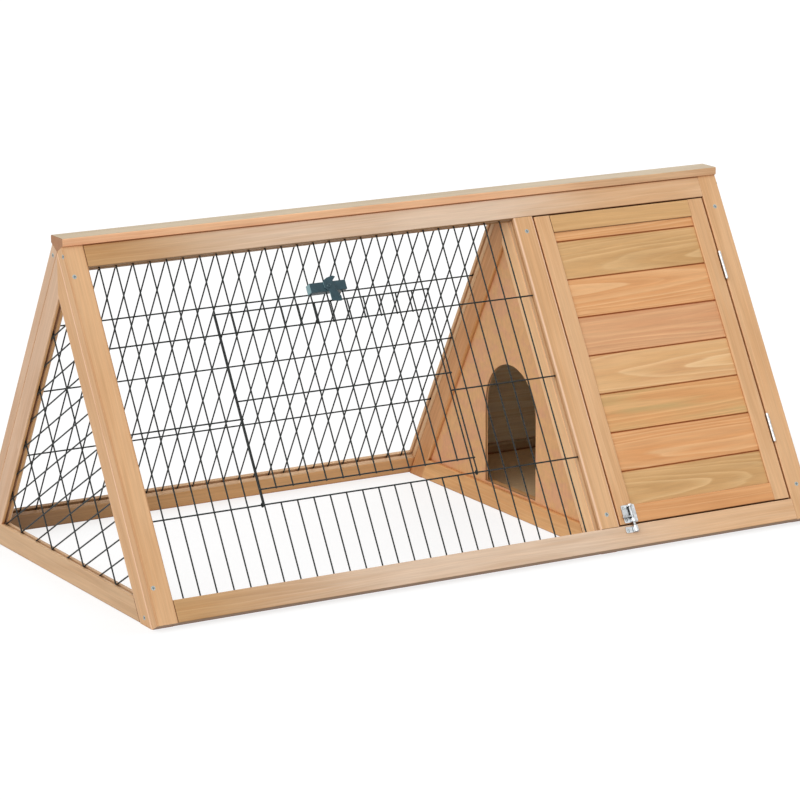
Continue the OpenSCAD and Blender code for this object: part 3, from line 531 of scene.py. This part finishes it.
def stained_fir_bar(node, grain, stain, number, settings, figure_group):
    """Planed fir under a thin clear stain: fine straight grain, satin, darker at its cut ends."""
    made, add = material("Stained fir, " + node.replace("_", " "))
    turn = Euler(GRAIN[grain])
    place, half = centred(add, node, turn)
    parts = add("ShaderNodeSeparateXYZ", [place]).outputs
    # Each bar has its own place in the tree, with the pith well outside it, so its grain is nearly straight
    swing = math.radians((number * 37 % 21 - 10) * 0.09)
    offset = Vector((number * 731.0, 40.0 + number * 29 % 35, 26.0 + number * 17 % 40))
    in_tree = add(
        "ShaderNodeMapping",
        {"Vector": place, "Location": offset, "Rotation": Euler((0, swing * 0.6, swing))},
    )

    # Where it goes over to other stains: the way, from and to in millimetres, the share at each, the stain
    others = []
    if node in BOUNCE_LIT_INSIDES:
        # Painted bounce light on the inner face
        others.append(("Z", 0.8 - half.z, 0.2 - half.z, 0, 1, "warm"))
    if node in ENDS:
        left, right = ENDS[node]
        others += [("X", *LEFT_END, 1, 0, left), ("X", *RIGHT_END, 0, RIGHT_SHARE, right)]
    if grain.startswith("along ridge,"):
        # Painted shade on a rail's lower side, which faces away from the light
        down = 1 if grain.endswith("back") else -1
        others.append(("Y", down * (half.y - 0.9), down * (half.y - 0.3), 0, 1, "drips"))
    if node == "ridge_cap":
        # Its broad top is greyer and darker than its sides
        others.append(("Z", half.z - 0.8, half.z - 0.2, 0, 1, "grey"))
    tones = stain_tones(stain)
    for axis, *limits, other in others:
        share = add("ShaderNodeMapRange", [parts[axis], *limits], **SOFTLY)
        tones = two_stains(add, share, tones, stain_tones(other))

    arris = {}
    if node in ARRIS_LIGHT_AND_SHADE:
        # The painted strip is 3 mm wide, wider than a real highlight so that it shows
        inwards = []
        for axis in (1, 2):
            out = add("ShaderNodeMath", [parts[axis]], operation="ABSOLUTE")
            inwards.append(add("ShaderNodeMath", [half[axis], out], operation="SUBTRACT"))
        nearest = add("ShaderNodeMath", inwards, operation="MAXIMUM")
        arris_light_share = add("ShaderNodeMapRange", [nearest, 1.6, 3.4, 0.8, 0], **SOFTLY)
        arris = {"Arris": paint(ARRIS_LIGHT_AND_SHADE[node]), "On arris": arris_light_share}
    figure = add(
        "ShaderNodeGroup",
        {"Place": in_tree, "Early wood": tones[0], "Late wood": tones[1], "Drift": tones[2], **arris,
         "Ring width": settings.ring_width / MM, "Contrast": settings.contrast, "Knots": 0.94,
         "End grain": end_grain(add, turn)},
        node_tree=figure_group,
    ).outputs
    finish_wood(add, figure, figure["Color"], relief=0.35)
    return made


def stained_fir_boards(node, grain, stains, number, settings, figure_group, row_group):
    """Tongue-and-groove fir boards, each sawn from another place in the tree and stained more orange."""
    made, add = material("Stained fir, " + node.replace("_", " "))
    turn = Euler(GRAIN[grain])
    place, half = centred(add, node, turn)
    parts = add("ShaderNodeSeparateXYZ", [place]).outputs
    # Y is made to run from the lowest board to the highest, from the first seam on, and Z outwards
    if grain == "across":
        up, out, height = parts["Z"], parts["Y"], half.z
    else:
        up, out, height = parts["Y"], parts["Z"], half.y
    if "back" in grain:
        up = add("ShaderNodeMath", [up, -1], operation="MULTIPLY")
    up = add("ShaderNodeMath", [up, height - BOARD_SEAT - settings.board_first / MM], operation="ADD")
    place = add("ShaderNodeCombineXYZ", [parts["X"], up, out])
    row = add(
        "ShaderNodeGroup",
        {"Place": place, "Pitch": settings.board_pitch / MM, "Seed": float(number * 13 + 4)},
        node_tree=row_group,
    ).outputs
    # The lowest board, below the first seam, is board -1
    step = 1 / len(stains)
    share = add("ShaderNodeMath", [row["Board"], step, 1.5 * step], operation="MULTIPLY_ADD")
    tones = []
    for part in range(3):
        ramp = add("ShaderNodeValToRGB", [share])
        stops = [(i * step, paint(STAINS[stain][part])) for i, stain in enumerate(stains)]
        set_stops(ramp, stops, "CONSTANT")
        tones.append(ramp)
    # The stain is sprayed on from outside, so the faces inside the house are raw
    inside = add("ShaderNodeMapRange", [out, -1.5, -0.5, 1, 0], **SOFTLY)
    tones = two_stains(add, inside, tones, stain_tones("raw"))
    figure = add(
        "ShaderNodeGroup",
        {"Place": row["Place"], "Early wood": tones[0], "Late wood": tones[1], "Drift": tones[2],
         "Ring width": settings.board_ring_width / MM, "Contrast": min(1, settings.contrast * 1.6),
         "Knots": 1.0, "End grain": end_grain(add, turn)},
        node_tree=figure_group,
    ).outputs
    seam = add("ShaderNodeMath", [row["Seam"], inside], operation="SUBTRACT", use_clamp=True)
    layer = {0: seam, 6: figure["Color"], 7: paint(SEAM_STAIN_AND_SHADE_TINT)}
    colour = add("ShaderNodeMix", layer, data_type="RGBA", blend_type="MULTIPLY").outputs[2]
    finish_wood(add, figure, colour, relief=0.35)
    return made


def sanded_plywood(node, turn, number, face, blush, settings, figure_group):
    """Sanded plywood: a wide, calm figure on the face veneer, and darker layers at a cut edge."""
    made, add = material("Sanded plywood, " + node.replace("_", " "))
    low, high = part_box(node)
    # Rotary-cut veneer has hardly any grain, so its figure is squeezed to a fourteenth of a board's length
    place = add(
        "ShaderNodeMapping",
        {"Vector": centred(add, node, Euler(turn))[0], "Location": (number * 517.0, 22.0, 95.0),
         "Scale": (14, 1, 1)},
    )
    lighter = [min(1, c * 1.12) for c in face]
    figure = add(
        "ShaderNodeGroup",
        {"Place": place, "Early wood": (*face, 1), "Late wood": (*lighter, 1), "Drift": (*blush, 1),
         "Ring width": 13.0, "Contrast": settings.contrast * 0.5, "Knots": 0.0, "End grain": 0.0},
        node_tree=figure_group,
    ).outputs
    # The middle layer is the middle third of the thickness
    thin = min(range(3), key=lambda i: (high - low)[i])
    depth = add("ShaderNodeTexCoord").outputs["Object"]
    depth = add("ShaderNodeSeparateXYZ", [depth]).outputs[thin]
    depth = add("ShaderNodeMath", [depth, (low[thin] + high[thin]) / 2], operation="SUBTRACT")
    depth = add("ShaderNodeMath", [depth], operation="ABSOLUTE")
    core = add("ShaderNodeMath", [depth, (high - low)[thin] / 6], operation="LESS_THAN")
    layer = {0: core, 6: figure["Color"], 7: (*settings.ply_core, 1)}
    colour = add("ShaderNodeMix", layer, data_type="RGBA").outputs[2]
    finish_wood(add, figure, colour, relief=0.2)
    return made


def dress(node, made):
    """Puts a material on a CAD node."""
    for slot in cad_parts[node].material_slots:
        slot.material = made


class RABBITRUN_OT_timber(bpy.types.Operator):
    """Stain the fir bars and boards and sand the plywood"""

    bl_idname = "rabbit_run.timber"
    bl_label = "Timber"

    def execute(self, context):
        settings = context.scene.rabbit_run_timber
        figure_group, row_group = fir_figure(), board_row()
        for number, (node, grain, stain) in enumerate(BARS):
            dress(node, stained_fir_bar(node, grain, stain, number, settings, figure_group))
        for number, (node, grain, stains) in enumerate(ROWS):
            dress(node, stained_fir_boards(node, grain, stains, number, settings, figure_group, row_group))
        sheets = [
            ("partition_panel", "upright", settings.ply_face, settings.ply_blush),
            ("house_floor", "along ridge", settings.ply_floor, settings.ply_floor),
        ]
        for number, (node, grain, face, blush) in enumerate(sheets):
            dress(node, sanded_plywood(node, GRAIN[grain], number, face, blush, settings, figure_group))
        return {"FINISHED"}


# ---- Wire ----


def coated_steel_wire(settings):
    """Powder-coated steel wire: near-black green, half gloss, slightly lumpy where the coat ran."""
    made, add = material("Coated steel wire")
    place = add("ShaderNodeTexCoord").outputs["Object"]
    # Runs in the coat, about 2 mm long, and worn patches of about 40 mm
    lumps = add("ShaderNodeTexNoise", {"Vector": place, "Scale": 1 / (2 * MM), "Detail": 2.0})
    worn = add("ShaderNodeTexNoise", {"Vector": place, "Scale": 1 / (40 * MM), "Detail": 3.0})
    tone = add("ShaderNodeValToRGB", [worn])
    set_stops(tone, [(0.35, dimmed(settings.coat, 0.8)), (0.7, dimmed(settings.coat, 1.35))])
    limits = {"Value": lumps, "To Min": settings.roughness - 0.08, "To Max": settings.roughness + 0.1}
    rough = add("ShaderNodeMapRange", limits)
    bump = add("ShaderNodeBump", {"Strength": 0.3, "Distance": 0.2 * MM, "Height": lumps})
    shader = add(
        "ShaderNodeBsdfPrincipled",
        {"Base Color": tone, "Roughness": rough, "Normal": bump, "Specular IOR Level": 0.3},
    )
    add("ShaderNodeOutputMaterial", {"Surface": shader})
    return made


WIRE_NODES = [
    "left_end_mesh", "front_mesh_left", "front_mesh_right", "front_mesh_top", "front_mesh_bottom",
    "back_mesh", "run_door",
]


class RABBITRUN_OT_wire(bpy.types.Operator):
    """Coat the wire mesh and the wire door"""

    bl_idname = "rabbit_run.wire"
    bl_label = "Wire"

    def execute(self, context):
        coat = coated_steel_wire(context.scene.rabbit_run_wire)
        for node in WIRE_NODES:
            dress(node, coat)
        return {"FINISHED"}


# ---- Small solids, modelled on the front slope in millimetres ----

# Edges that turn by less than this are shaded smooth
SMOOTH_BELOW = math.radians(32)


def bevelled(mesh, geom, width, segments, affect="EDGES"):
    """Rounds edges or corners."""
    bmesh.ops.bevel(
        mesh, geom=geom, offset=width, offset_type="OFFSET", segments=segments, affect=affect,
        profile=0.5, material=-1, clamp_overlap=True,
    )


def bevel_sharp(mesh, width, segments=3, angle=35):
    """Rounds the edges that turn by more than the angle."""
    bmesh.ops.recalc_face_normals(mesh, faces=mesh.faces)
    sharp = [e for e in mesh.edges if len(e.link_faces) == 2 and e.calc_face_angle(0) > math.radians(angle)]
    bevelled(mesh, sharp, width, segments)


def joined(parts):
    """One mesh from several; the parts are used up."""
    whole = bmesh.new()
    for part in parts:
        held = bpy.data.meshes.new("held")
        part.to_mesh(held)
        part.free()
        whole.from_mesh(held)
        bpy.data.meshes.remove(held)
    return whole


def piece(name, mesh, made, body, replaces):
    """A finished piece: its mesh is put on the front slope, and it rides on a body in place of CAD nodes."""
    bmesh.ops.transform(mesh, matrix=ON_FRONT, verts=mesh.verts)
    bmesh.ops.recalc_face_normals(mesh, faces=mesh.faces)
    data = bpy.data.meshes.new(name)
    mesh.to_mesh(data)
    mesh.free()
    data.materials.append(made)
    data.shade_smooth()
    data.set_sharp_from_angle(angle=SMOOTH_BELOW)
    obj = bpy.data.objects.new(name, data)
    bpy.context.collection.objects.link(obj)
    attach(obj, body)
    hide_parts(*replaces)


def raise_faces(mesh, faces, height):
    """Extrudes faces outwards by a height, and gives what was made."""
    made = bmesh.ops.extrude_face_region(mesh, geom=faces)["geom"]
    verts = [v for v in made if isinstance(v, bmesh.types.BMVert)]
    bmesh.ops.translate(mesh, verts=verts, vec=(0, 0, height))
    return made


def only_faces(geometry):
    """The faces in what an operation made."""
    return [f for f in geometry if isinstance(f, bmesh.types.BMFace)]


def slab(x0, x1, s0, s1, o0, o1):
    """A box given by its limits: along the ridge, down the slope, outwards."""
    mesh = bmesh.new()
    size = Vector((x1 - x0, s1 - s0, o1 - o0))
    middle = Vector(((x0 + x1) / 2, -(s0 + s1) / 2, (o0 + o1) / 2))
    bmesh.ops.create_cube(mesh, size=1, matrix=Matrix.Translation(middle) @ Matrix.Diagonal((*size, 1)))
    return mesh


def plate(x0, x1, s0, s1, o0, o1, corner, edge):
    """A flat plate with round corners and softened edges."""
    mesh = slab(x0, x1, s0, s1, o0, o1)
    upright = [e for e in mesh.edges if abs((e.verts[0].co - e.verts[1].co).normalized().z) > 0.9]
    bevelled(mesh, upright, corner, segments=6)
    bevel_sharp(mesh, edge, segments=2, angle=60)
    return mesh


def strap(x, axis_o, base_o, inner, wall, s0, s1, edge):
    """A strip bent over a rod: up from the plate, half round, and down again."""
    mesh = bmesh.new()
    corners = [(x + inner, -s0), (x + inner + wall, -s0), (x + inner + wall, -s1), (x + inner, -s1)]
    foot = mesh.faces.new([mesh.verts.new((*c, base_o)) for c in corners])
    top = only_faces(raise_faces(mesh, [foot], axis_o - base_o))
    spun = bmesh.ops.spin(
        mesh, geom=top, cent=(x, 0, axis_o), axis=(0, -1, 0), angle=math.pi, steps=18, use_duplicate=False
    )["geom_last"]
    raise_faces(mesh, only_faces(spun), base_o - axis_o)
    inside = [f for f in mesh.faces if all(len(e.link_faces) > 2 for e in f.edges)]
    bmesh.ops.delete(mesh, geom=inside, context="FACES_ONLY")
    bevel_sharp(mesh, edge, segments=2, angle=60)
    return mesh


def rod(start, end, diameter, edge, segments=32):
    """A round rod between two points, its ends softened."""
    start, end = Vector(start), Vector(end)
    mesh = bmesh.new()
    turn = (end - start).to_track_quat("Z", "Y").to_matrix().to_4x4()
    bmesh.ops.create_cone(
        mesh, cap_ends=True, segments=segments, radius1=diameter / 2, radius2=diameter / 2,
        depth=(end - start).length, matrix=Matrix.Translation((start + end) / 2) @ turn,
    )
    bevel_sharp(mesh, edge, angle=60)
    return mesh


# ---- Zinc ----

# Painted shade for recesses in the zinc
RECESS_SHADE = "#1e2223"


def zinc_plate(name, zinc, roughness, shade, recess):
    """Zinc plate on steel: a light metal with fine rolling marks and cloudy patches, with painted shade in
    its recesses.
    """
    made, add = material(name)
    place = add("ShaderNodeTexCoord").outputs["Object"]
    clouds = add("ShaderNodeTexNoise", {"Vector": place, "Scale": 1 / (5 * MM), "Detail": 3.0})
    # Rolling marks 0.4 mm wide, along the ridge
    marks = add("ShaderNodeVectorMath", [place, (0.06, 1, 1)], operation="MULTIPLY")
    marks = add("ShaderNodeTexNoise", {"Vector": marks, "Scale": 1 / (0.4 * MM), "Detail": 2.0})
    tone = add("ShaderNodeValToRGB", [clouds])
    set_stops(tone, [(0.32, dimmed(zinc, shade)), (0.62, dimmed(zinc, 1))])
    # Painted shade darkens the recesses, by ambient occlusion
    recess_shade = add("ShaderNodeAmbientOcclusion", {"Distance": recess * MM}, samples=6).outputs["AO"]
    recess_shade = add("ShaderNodeMapRange", [recess_shade, 0.25, 0.8, 0.94, 0], **SOFTLY)
    colour = add("ShaderNodeMix", {0: recess_shade, 6: tone, 7: paint(RECESS_SHADE)}, data_type="RGBA").outputs[2]
    limits = {"Value": clouds, "To Min": roughness - 0.1, "To Max": roughness + 0.12}
    rough = add("ShaderNodeMapRange", limits)
    bump = add("ShaderNodeBump", {"Strength": 0.25, "Distance": 0.05 * MM, "Height": marks})
    shader = add(
        "ShaderNodeBsdfPrincipled",
        {"Base Color": colour, "Metallic": 1.0, "Roughness": rough, "Normal": bump},
    )
    add("ShaderNodeOutputMaterial", {"Surface": shader})
    return made


def bright_zinc(settings):
    """Bright zinc plate on the hinges and the bolt's plates: silvery, with soft reflections."""
    return zinc_plate("Bright zinc plate", settings.plate, roughness=0.3, shade=0.72, recess=5)


def blued_zinc(settings):
    """Blue zinc plate on the screws: a little darker and duller."""
    return zinc_plate("Blued zinc plate", settings.screws, roughness=0.42, shade=0.75, recess=1.2)


def shaded_zinc(settings):
    """Zinc plate on the bolt's rod and knob, painted darker than the plates as painted shade."""
    darker_zinc = [c * 0.74 for c in settings.plate]
    return zinc_plate("Worn zinc plate", darker_zinc, roughness=0.4, shade=0.6, recess=5)


HINGES = ["hinge_frame_leaves", "hinge_door_leaves", "hinge_pins"]
SCREWS = ["hinge_frame_screws", "hinge_door_screws", "bolt_plate_screws", "frame_screws"]


class RABBITRUN_OT_zinc(bpy.types.Operator):
    """Plate the hinges and screws with zinc"""

    bl_idname = "rabbit_run.zinc"
    bl_label = "Zinc"

    def execute(self, context):
        settings = context.scene.rabbit_run_zinc
        bright, blued = bright_zinc(settings), blued_zinc(settings)
        for node in HINGES:
            dress(node, bright)
        for node in SCREWS:
            dress(node, blued)
        return {"FINISHED"}


# The bolt lies on the outer face of the bars, and its rod runs down the slope.
# Limits are along the ridge, down the slope, and outwards from the bars' inner face
BAR_FACE = 20.0
BACKPLATE, KEEPER = (236, 261, 523, 552), (234, 257.75, 558, 568)
PLATE_T, STRAP_T = 1.2, 1.4
ROD_X, ROD_OUT, ROD_D = 250.5, 24.2, 4.6
ROD_TOP, ROD_TIP = 524.5, 566.5
# The rod's two guides and the keeper's loop: inner radius, and limits down the slope.
# The upper guide ends where the collar comes to lie when the bolt is drawn back
UPPER_GUIDE, LOWER_GUIDE, LOOP = (2.6, 523.2, 526.5), (2.6, 546, 551.8), (2.8, 558.2, 567.8)
# The arm that the knob sits on, with a collar where it leaves the rod
ARM_S, ARM_D, ARM_END = 542.5, 3, 15.2
COLLAR_D, COLLAR_START, COLLAR_END = 4.4, 2.2, 3.6
KNOB_R, KNOB_MIDDLE = 2.2, 16


class RABBITRUN_OT_bolt(bpy.types.Operator):
    """Build the house door's bolt: plate, rod with its knob, keeper"""

    bl_idname = "rabbit_run.bolt"
    bl_label = "Bolt"

    def execute(self, context):
        settings = context.scene.rabbit_run_zinc
        # The rod's zinc is a darker copy of the plates' zinc: painted shade
        zinc, worn = bpy.data.materials["Bright zinc plate"], shaded_zinc(settings)
        edge, corner = settings.edge / MM, settings.corner / MM

        def pressed(x0, x1, s0, s1):
            return plate(x0, x1, s0, s1, BAR_FACE, BAR_FACE + PLATE_T, corner, edge)

        def guide(inner, s0, s1):
            return strap(ROD_X, ROD_OUT, BAR_FACE, inner, STRAP_T, s0, s1, edge)

        def on_arm(along):
            return (ROD_X - along, -ARM_S, ROD_OUT)

        backing = [pressed(*BACKPLATE), guide(*UPPER_GUIDE), guide(*LOWER_GUIDE)]
        piece("bolt_backplate", joined(backing), zinc, "house_door", ["bolt_plate"])
        shaft = rod((ROD_X, -ROD_TOP, ROD_OUT), (ROD_X, -ROD_TIP, ROD_OUT), ROD_D, edge=0.8)
        arm = rod(on_arm(0), on_arm(ARM_END), ARM_D, edge=0.3, segments=24)
        collar = rod(on_arm(COLLAR_START), on_arm(COLLAR_END), COLLAR_D, edge=0.4, segments=24)
        knob = bmesh.new()
        bmesh.ops.create_uvsphere(
            knob, u_segments=24, v_segments=14, radius=KNOB_R, matrix=Matrix.Translation(on_arm(KNOB_MIDDLE))
        )
        piece("bolt_bar", joined([shaft, arm, collar, knob]), worn, "house_bolt", ["bolt_rod"])
        catch = [pressed(*KEEPER), guide(*LOOP)]
        piece("bolt_catch", joined(catch), zinc, "frame", ["bolt_keeper"])
        return {"FINISHED"}


# ---- Latch of the wire door ----


def moulded_abs(settings):
    """Moulded ABS in dark slate teal: half gloss with the fine spark texture of its mould."""
    made, add = material("Moulded ABS")
    place = add("ShaderNodeTexCoord").outputs["Object"]
    grit = add("ShaderNodeTexNoise", {"Vector": place, "Scale": 1 / (0.5 * MM), "Detail": 2.0})
    flow = add("ShaderNodeTexNoise", {"Vector": place, "Scale": 1 / (12 * MM), "Detail": 2.0})
    tone = add("ShaderNodeValToRGB", [flow])
    set_stops(tone, [(0.3, dimmed(settings.plastic, 0.85)), (0.7, dimmed(settings.plastic, 1.15))])
    # The left end, which faces the light, is painted lighter: a painted highlight
    at_left = add("ShaderNodeTexCoord").outputs["Normal"]
    at_left = add("ShaderNodeSeparateXYZ", [at_left]).outputs["X"]
    at_left = add("ShaderNodeMapRange", [at_left, -0.9, -0.99], **SOFTLY)
    layer = {0: at_left, 6: tone, 7: (*settings.lit_end, 1)}
    colour = add("ShaderNodeMix", layer, data_type="RGBA").outputs[2]
    rough = add("ShaderNodeMapRange", {"Value": flow, "To Min": 0.34, "To Max": 0.46})
    bump = add("ShaderNodeBump", {"Strength": 0.2, "Distance": 0.08 * MM, "Height": grit})
    shader = add(
        "ShaderNodeBsdfPrincipled",
        {"Base Color": colour, "Roughness": rough, "Normal": bump, "IOR": 1.54, "Specular IOR Level": 0.3},
    )
    add("ShaderNodeOutputMaterial", {"Surface": shader})
    return made


# Place of the pivot: along the ridge, and down the slope
PIVOT_X, PIVOT_S = -168.2, 110.0
# Under- and upper sides are measured outwards from the bars' inner face
BLOCK_L, BLOCK_W, BLOCK_UNDER, BLOCK_TOP = 63, 15.5, 7, 21.5
LEVER_UNDER, LEVER_T, LEVER_CORNER = 21.7, 2, 1.6
# Outline of the lever about its pivot: along the ridge, and down the slope
LEVER = [
    (-8, -9), (-1.5, -13), (9, -16), (15, -14), (8, -7), (12, 8),
    (17, 19), (16, 26), (8, 25.5), (-1, 23), (-1, 8.7), (-8, 3),
]
# Half the rivet's section, from its shank to its domed head: radius, and place outwards
RIVET = [
    (0, 12.5), (2, 12.5), (2, 23.9), (3.8, 23.9), (3.7, 24.5),
    (3.1, 25.1), (2.2, 25.4), (1.2, 25.4), (0.9, 24.9), (0, 24.9),
]


class RABBITRUN_OT_latch(bpy.types.Operator):
    """Build the wire door's latch: block, turning lever and rivet"""

    bl_idname = "rabbit_run.latch"
    bl_label = "Latch"

    def execute(self, context):
        settings = context.scene.rabbit_run_latch
        plastic = moulded_abs(settings)
        x, s = PIVOT_X, PIVOT_S
        half_l, half_w = BLOCK_L / 2, BLOCK_W / 2
        block = slab(x - half_l, x + half_l, s - half_w, s + half_w, BLOCK_UNDER, BLOCK_TOP)
        bevel_sharp(block, settings.edge / MM, segments=4)
        piece("latch_block", block, plastic, "frame", ["run_latch_block"])

        lever = bmesh.new()
        lever.faces.new([lever.verts.new((x + along, -s - down, LEVER_UNDER)) for along, down in LEVER])
        bevelled(lever, lever.verts[:], LEVER_CORNER, segments=4, affect="VERTICES")
        raise_faces(lever, lever.faces[:], LEVER_T)
        bevel_sharp(lever, settings.lever_edge / MM, angle=60)
        piece("latch_lever", lever, plastic, "latch_lever", ["run_latch_lever"])

        rivet = bmesh.new()
        verts = [rivet.verts.new((x + radius, -s, out)) for radius, out in RIVET]
        edges = [rivet.edges.new(pair) for pair in zip(verts, verts[1:])]
        bmesh.ops.spin(
            rivet, geom=verts + edges, cent=(x, -s, 0), axis=(0, 0, 1), angle=math.tau, steps=32,
            use_merge=True,
        )
        bmesh.ops.remove_doubles(rivet, verts=rivet.verts, dist=0.001)
        piece("latch_rivet", rivet, plastic, "frame", ["run_latch_rivet"])
        return {"FINISHED"}


# ---- Studio ----

PAPER = "#8c8c8c"
# The paper runs on far beyond the studio's floor, and what it throws back into the run is given by a glow
GLOW_ON_RUN = 0.3
GLOW_SEEN = 0.77
# The floor lies this far under the run's feet, so that the two faces don't flicker
FLOOR_DROP = 0.2 * MM
CAMERA_TARGET = Vector((1.007, 0, 210.415)) * MM
# Millimetres and metres
SENSOR_WIDTH, FAR_CLIP = 36, 100


def seen_directly(add):
    """1 for what the camera sees, by itself or in metal and glass."""
    ray = add("ShaderNodeLightPath").outputs
    seen = ray["Is Camera Ray"]
    for kind in ("Is Glossy Ray", "Is Transmission Ray"):
        seen = add("ShaderNodeMath", [seen, ray[kind]], operation="MAXIMUM")
    return seen


def matt_paper():
    """Matt studio paper: seen white, and it keeps the run's soft shadow."""
    made, add = material("Matt studio paper")
    surface = add(
        "ShaderNodeBsdfPrincipled", {"Base Color": paint(PAPER), "Roughness": 0.9, "Specular IOR Level": 0.1}
    )
    limits = {"Value": seen_directly(add), "To Min": GLOW_ON_RUN, "To Max": GLOW_SEEN}
    level = add("ShaderNodeMapRange", limits)
    glow = add("ShaderNodeEmission", {"Color": grey(1), "Strength": level})
    both = add("ShaderNodeAddShader", [surface, glow])
    add("ShaderNodeOutputMaterial", {"Surface": both})
    return made


def towards(azimuth, elevation):
    """The direction of a place round the run: azimuth 0 is in front of it."""
    return Vector((
        math.sin(azimuth) * math.cos(elevation),
        -math.cos(azimuth) * math.cos(elevation),
        math.sin(elevation),
    ))


def soft_lamp(name, strength, azimuth, elevation, spread):
    """A broad, far lamp that lights the floor evenly. A white card that faces it shows its strength."""
    light = bpy.data.lights.new(name, "SUN")
    light.energy, light.angle = strength * math.pi, spread
    lamp = bpy.data.objects.new(name, light)
    bpy.context.scene.collection.objects.link(lamp)
    lamp.rotation_euler = towards(azimuth, elevation).to_track_quat("Z", "Y").to_euler()


def lay_floor(scene, size):
    """Lays the studio's floor under the run."""
    mesh = bmesh.new()
    bmesh.ops.create_grid(
        mesh, x_segments=1, y_segments=1, size=size / 2, matrix=Matrix.Translation((0, 0, -FLOOR_DROP))
    )
    data = bpy.data.meshes.new("studio_floor")
    mesh.to_mesh(data)
    mesh.free()
    data.materials.append(matt_paper())
    floor = bpy.data.objects.new("studio_floor", data)
    scene.collection.objects.link(floor)


def light_sky(scene, strength):
    """Even light from all round, and a white backdrop for the camera."""
    scene.world = bpy.data.worlds.new("Studio light")
    scene.world.use_nodes = True
    tree = scene.world.node_tree
    tree.nodes.clear()
    add = partial(add_node, tree)
    level = add("ShaderNodeMapRange", {"Value": seen_directly(add), "To Min": strength, "To Max": 1.0})
    sky = add("ShaderNodeBackground", {"Color": grey(1), "Strength": level})
    add("ShaderNodeOutputWorld", {"Surface": sky})


def set_camera(scene, settings):
    """Sets a camera that looks at the run from the photo's side."""
    roll = settings.roll
    back = towards(settings.azimuth, settings.elevation)
    right = Vector((0, 0, 1)).cross(back).normalized()
    up = back.cross(right)
    side = math.cos(roll) * right - math.sin(roll) * up
    top = math.sin(roll) * right + math.cos(roll) * up
    turn = Matrix((side, top, back)).transposed()
    lens = bpy.data.cameras.new("studio_camera")
    lens.sensor_width, lens.lens, lens.clip_end = SENSOR_WIDTH, settings.lens, FAR_CLIP
    camera = bpy.data.objects.new("studio_camera", lens)
    scene.collection.objects.link(camera)
    camera.matrix_world = Matrix.Translation(CAMERA_TARGET + back * settings.distance) @ turn.to_4x4()
    scene.camera = camera


class RABBITRUN_OT_studio(bpy.types.Operator):
    """Set the floor, the light and the camera"""

    bl_idname = "rabbit_run.studio"
    bl_label = "Studio"

    def execute(self, context):
        scene = context.scene
        settings = scene.rabbit_run_studio
        lay_floor(scene, settings.floor_size)
        light_sky(scene, settings.sky)
        for name in ("key", "fill", "rear"):
            values = [getattr(settings, name + part) for part in ("", "_azimuth", "_elevation")]
            soft_lamp(name, *values, settings.spread)
        set_camera(scene, settings)
        scene.view_settings.view_transform = "Standard"
        return {"FINISHED"}


class RABBITRUN_PT_panel(bpy.types.Panel):
    """The run's pieces and finishes"""

    bl_idname = "RABBITRUN_PT_panel"
    bl_label = "Rabbit run"
    bl_space_type = "VIEW_3D"
    bl_region_type = "UI"
    bl_category = "Rabbit run"

    def draw(self, context):
        layout = self.layout
        for operator in OPERATORS:
            layout.operator(operator.bl_idname)
        for name, group in SETTINGS.items():
            box = layout.box()
            for prop in group.__annotations__:
                box.prop(getattr(context.scene, name), prop)


OPERATORS = [
    RABBITRUN_OT_timber,
    RABBITRUN_OT_wire,
    RABBITRUN_OT_zinc,
    RABBITRUN_OT_bolt,
    RABBITRUN_OT_latch,
    RABBITRUN_OT_studio,
]
CLASSES = [*SETTINGS.values(), *OPERATORS, RABBITRUN_PT_panel]


def register():
    for cls in CLASSES:
        bpy.utils.register_class(cls)
    for name, group in SETTINGS.items():
        setattr(bpy.types.Scene, name, PointerProperty(type=group))


def unregister():
    for name in SETTINGS:
        delattr(bpy.types.Scene, name)
    for cls in reversed(CLASSES):
        bpy.utils.unregister_class(cls)


def main():
    register()
    bpy.ops.rabbit_run.timber()
    bpy.ops.rabbit_run.wire()
    bpy.ops.rabbit_run.zinc()
    bpy.ops.rabbit_run.bolt()
    bpy.ops.rabbit_run.latch()
    bpy.ops.rabbit_run.studio()


if __name__ == "__main__":
    main()
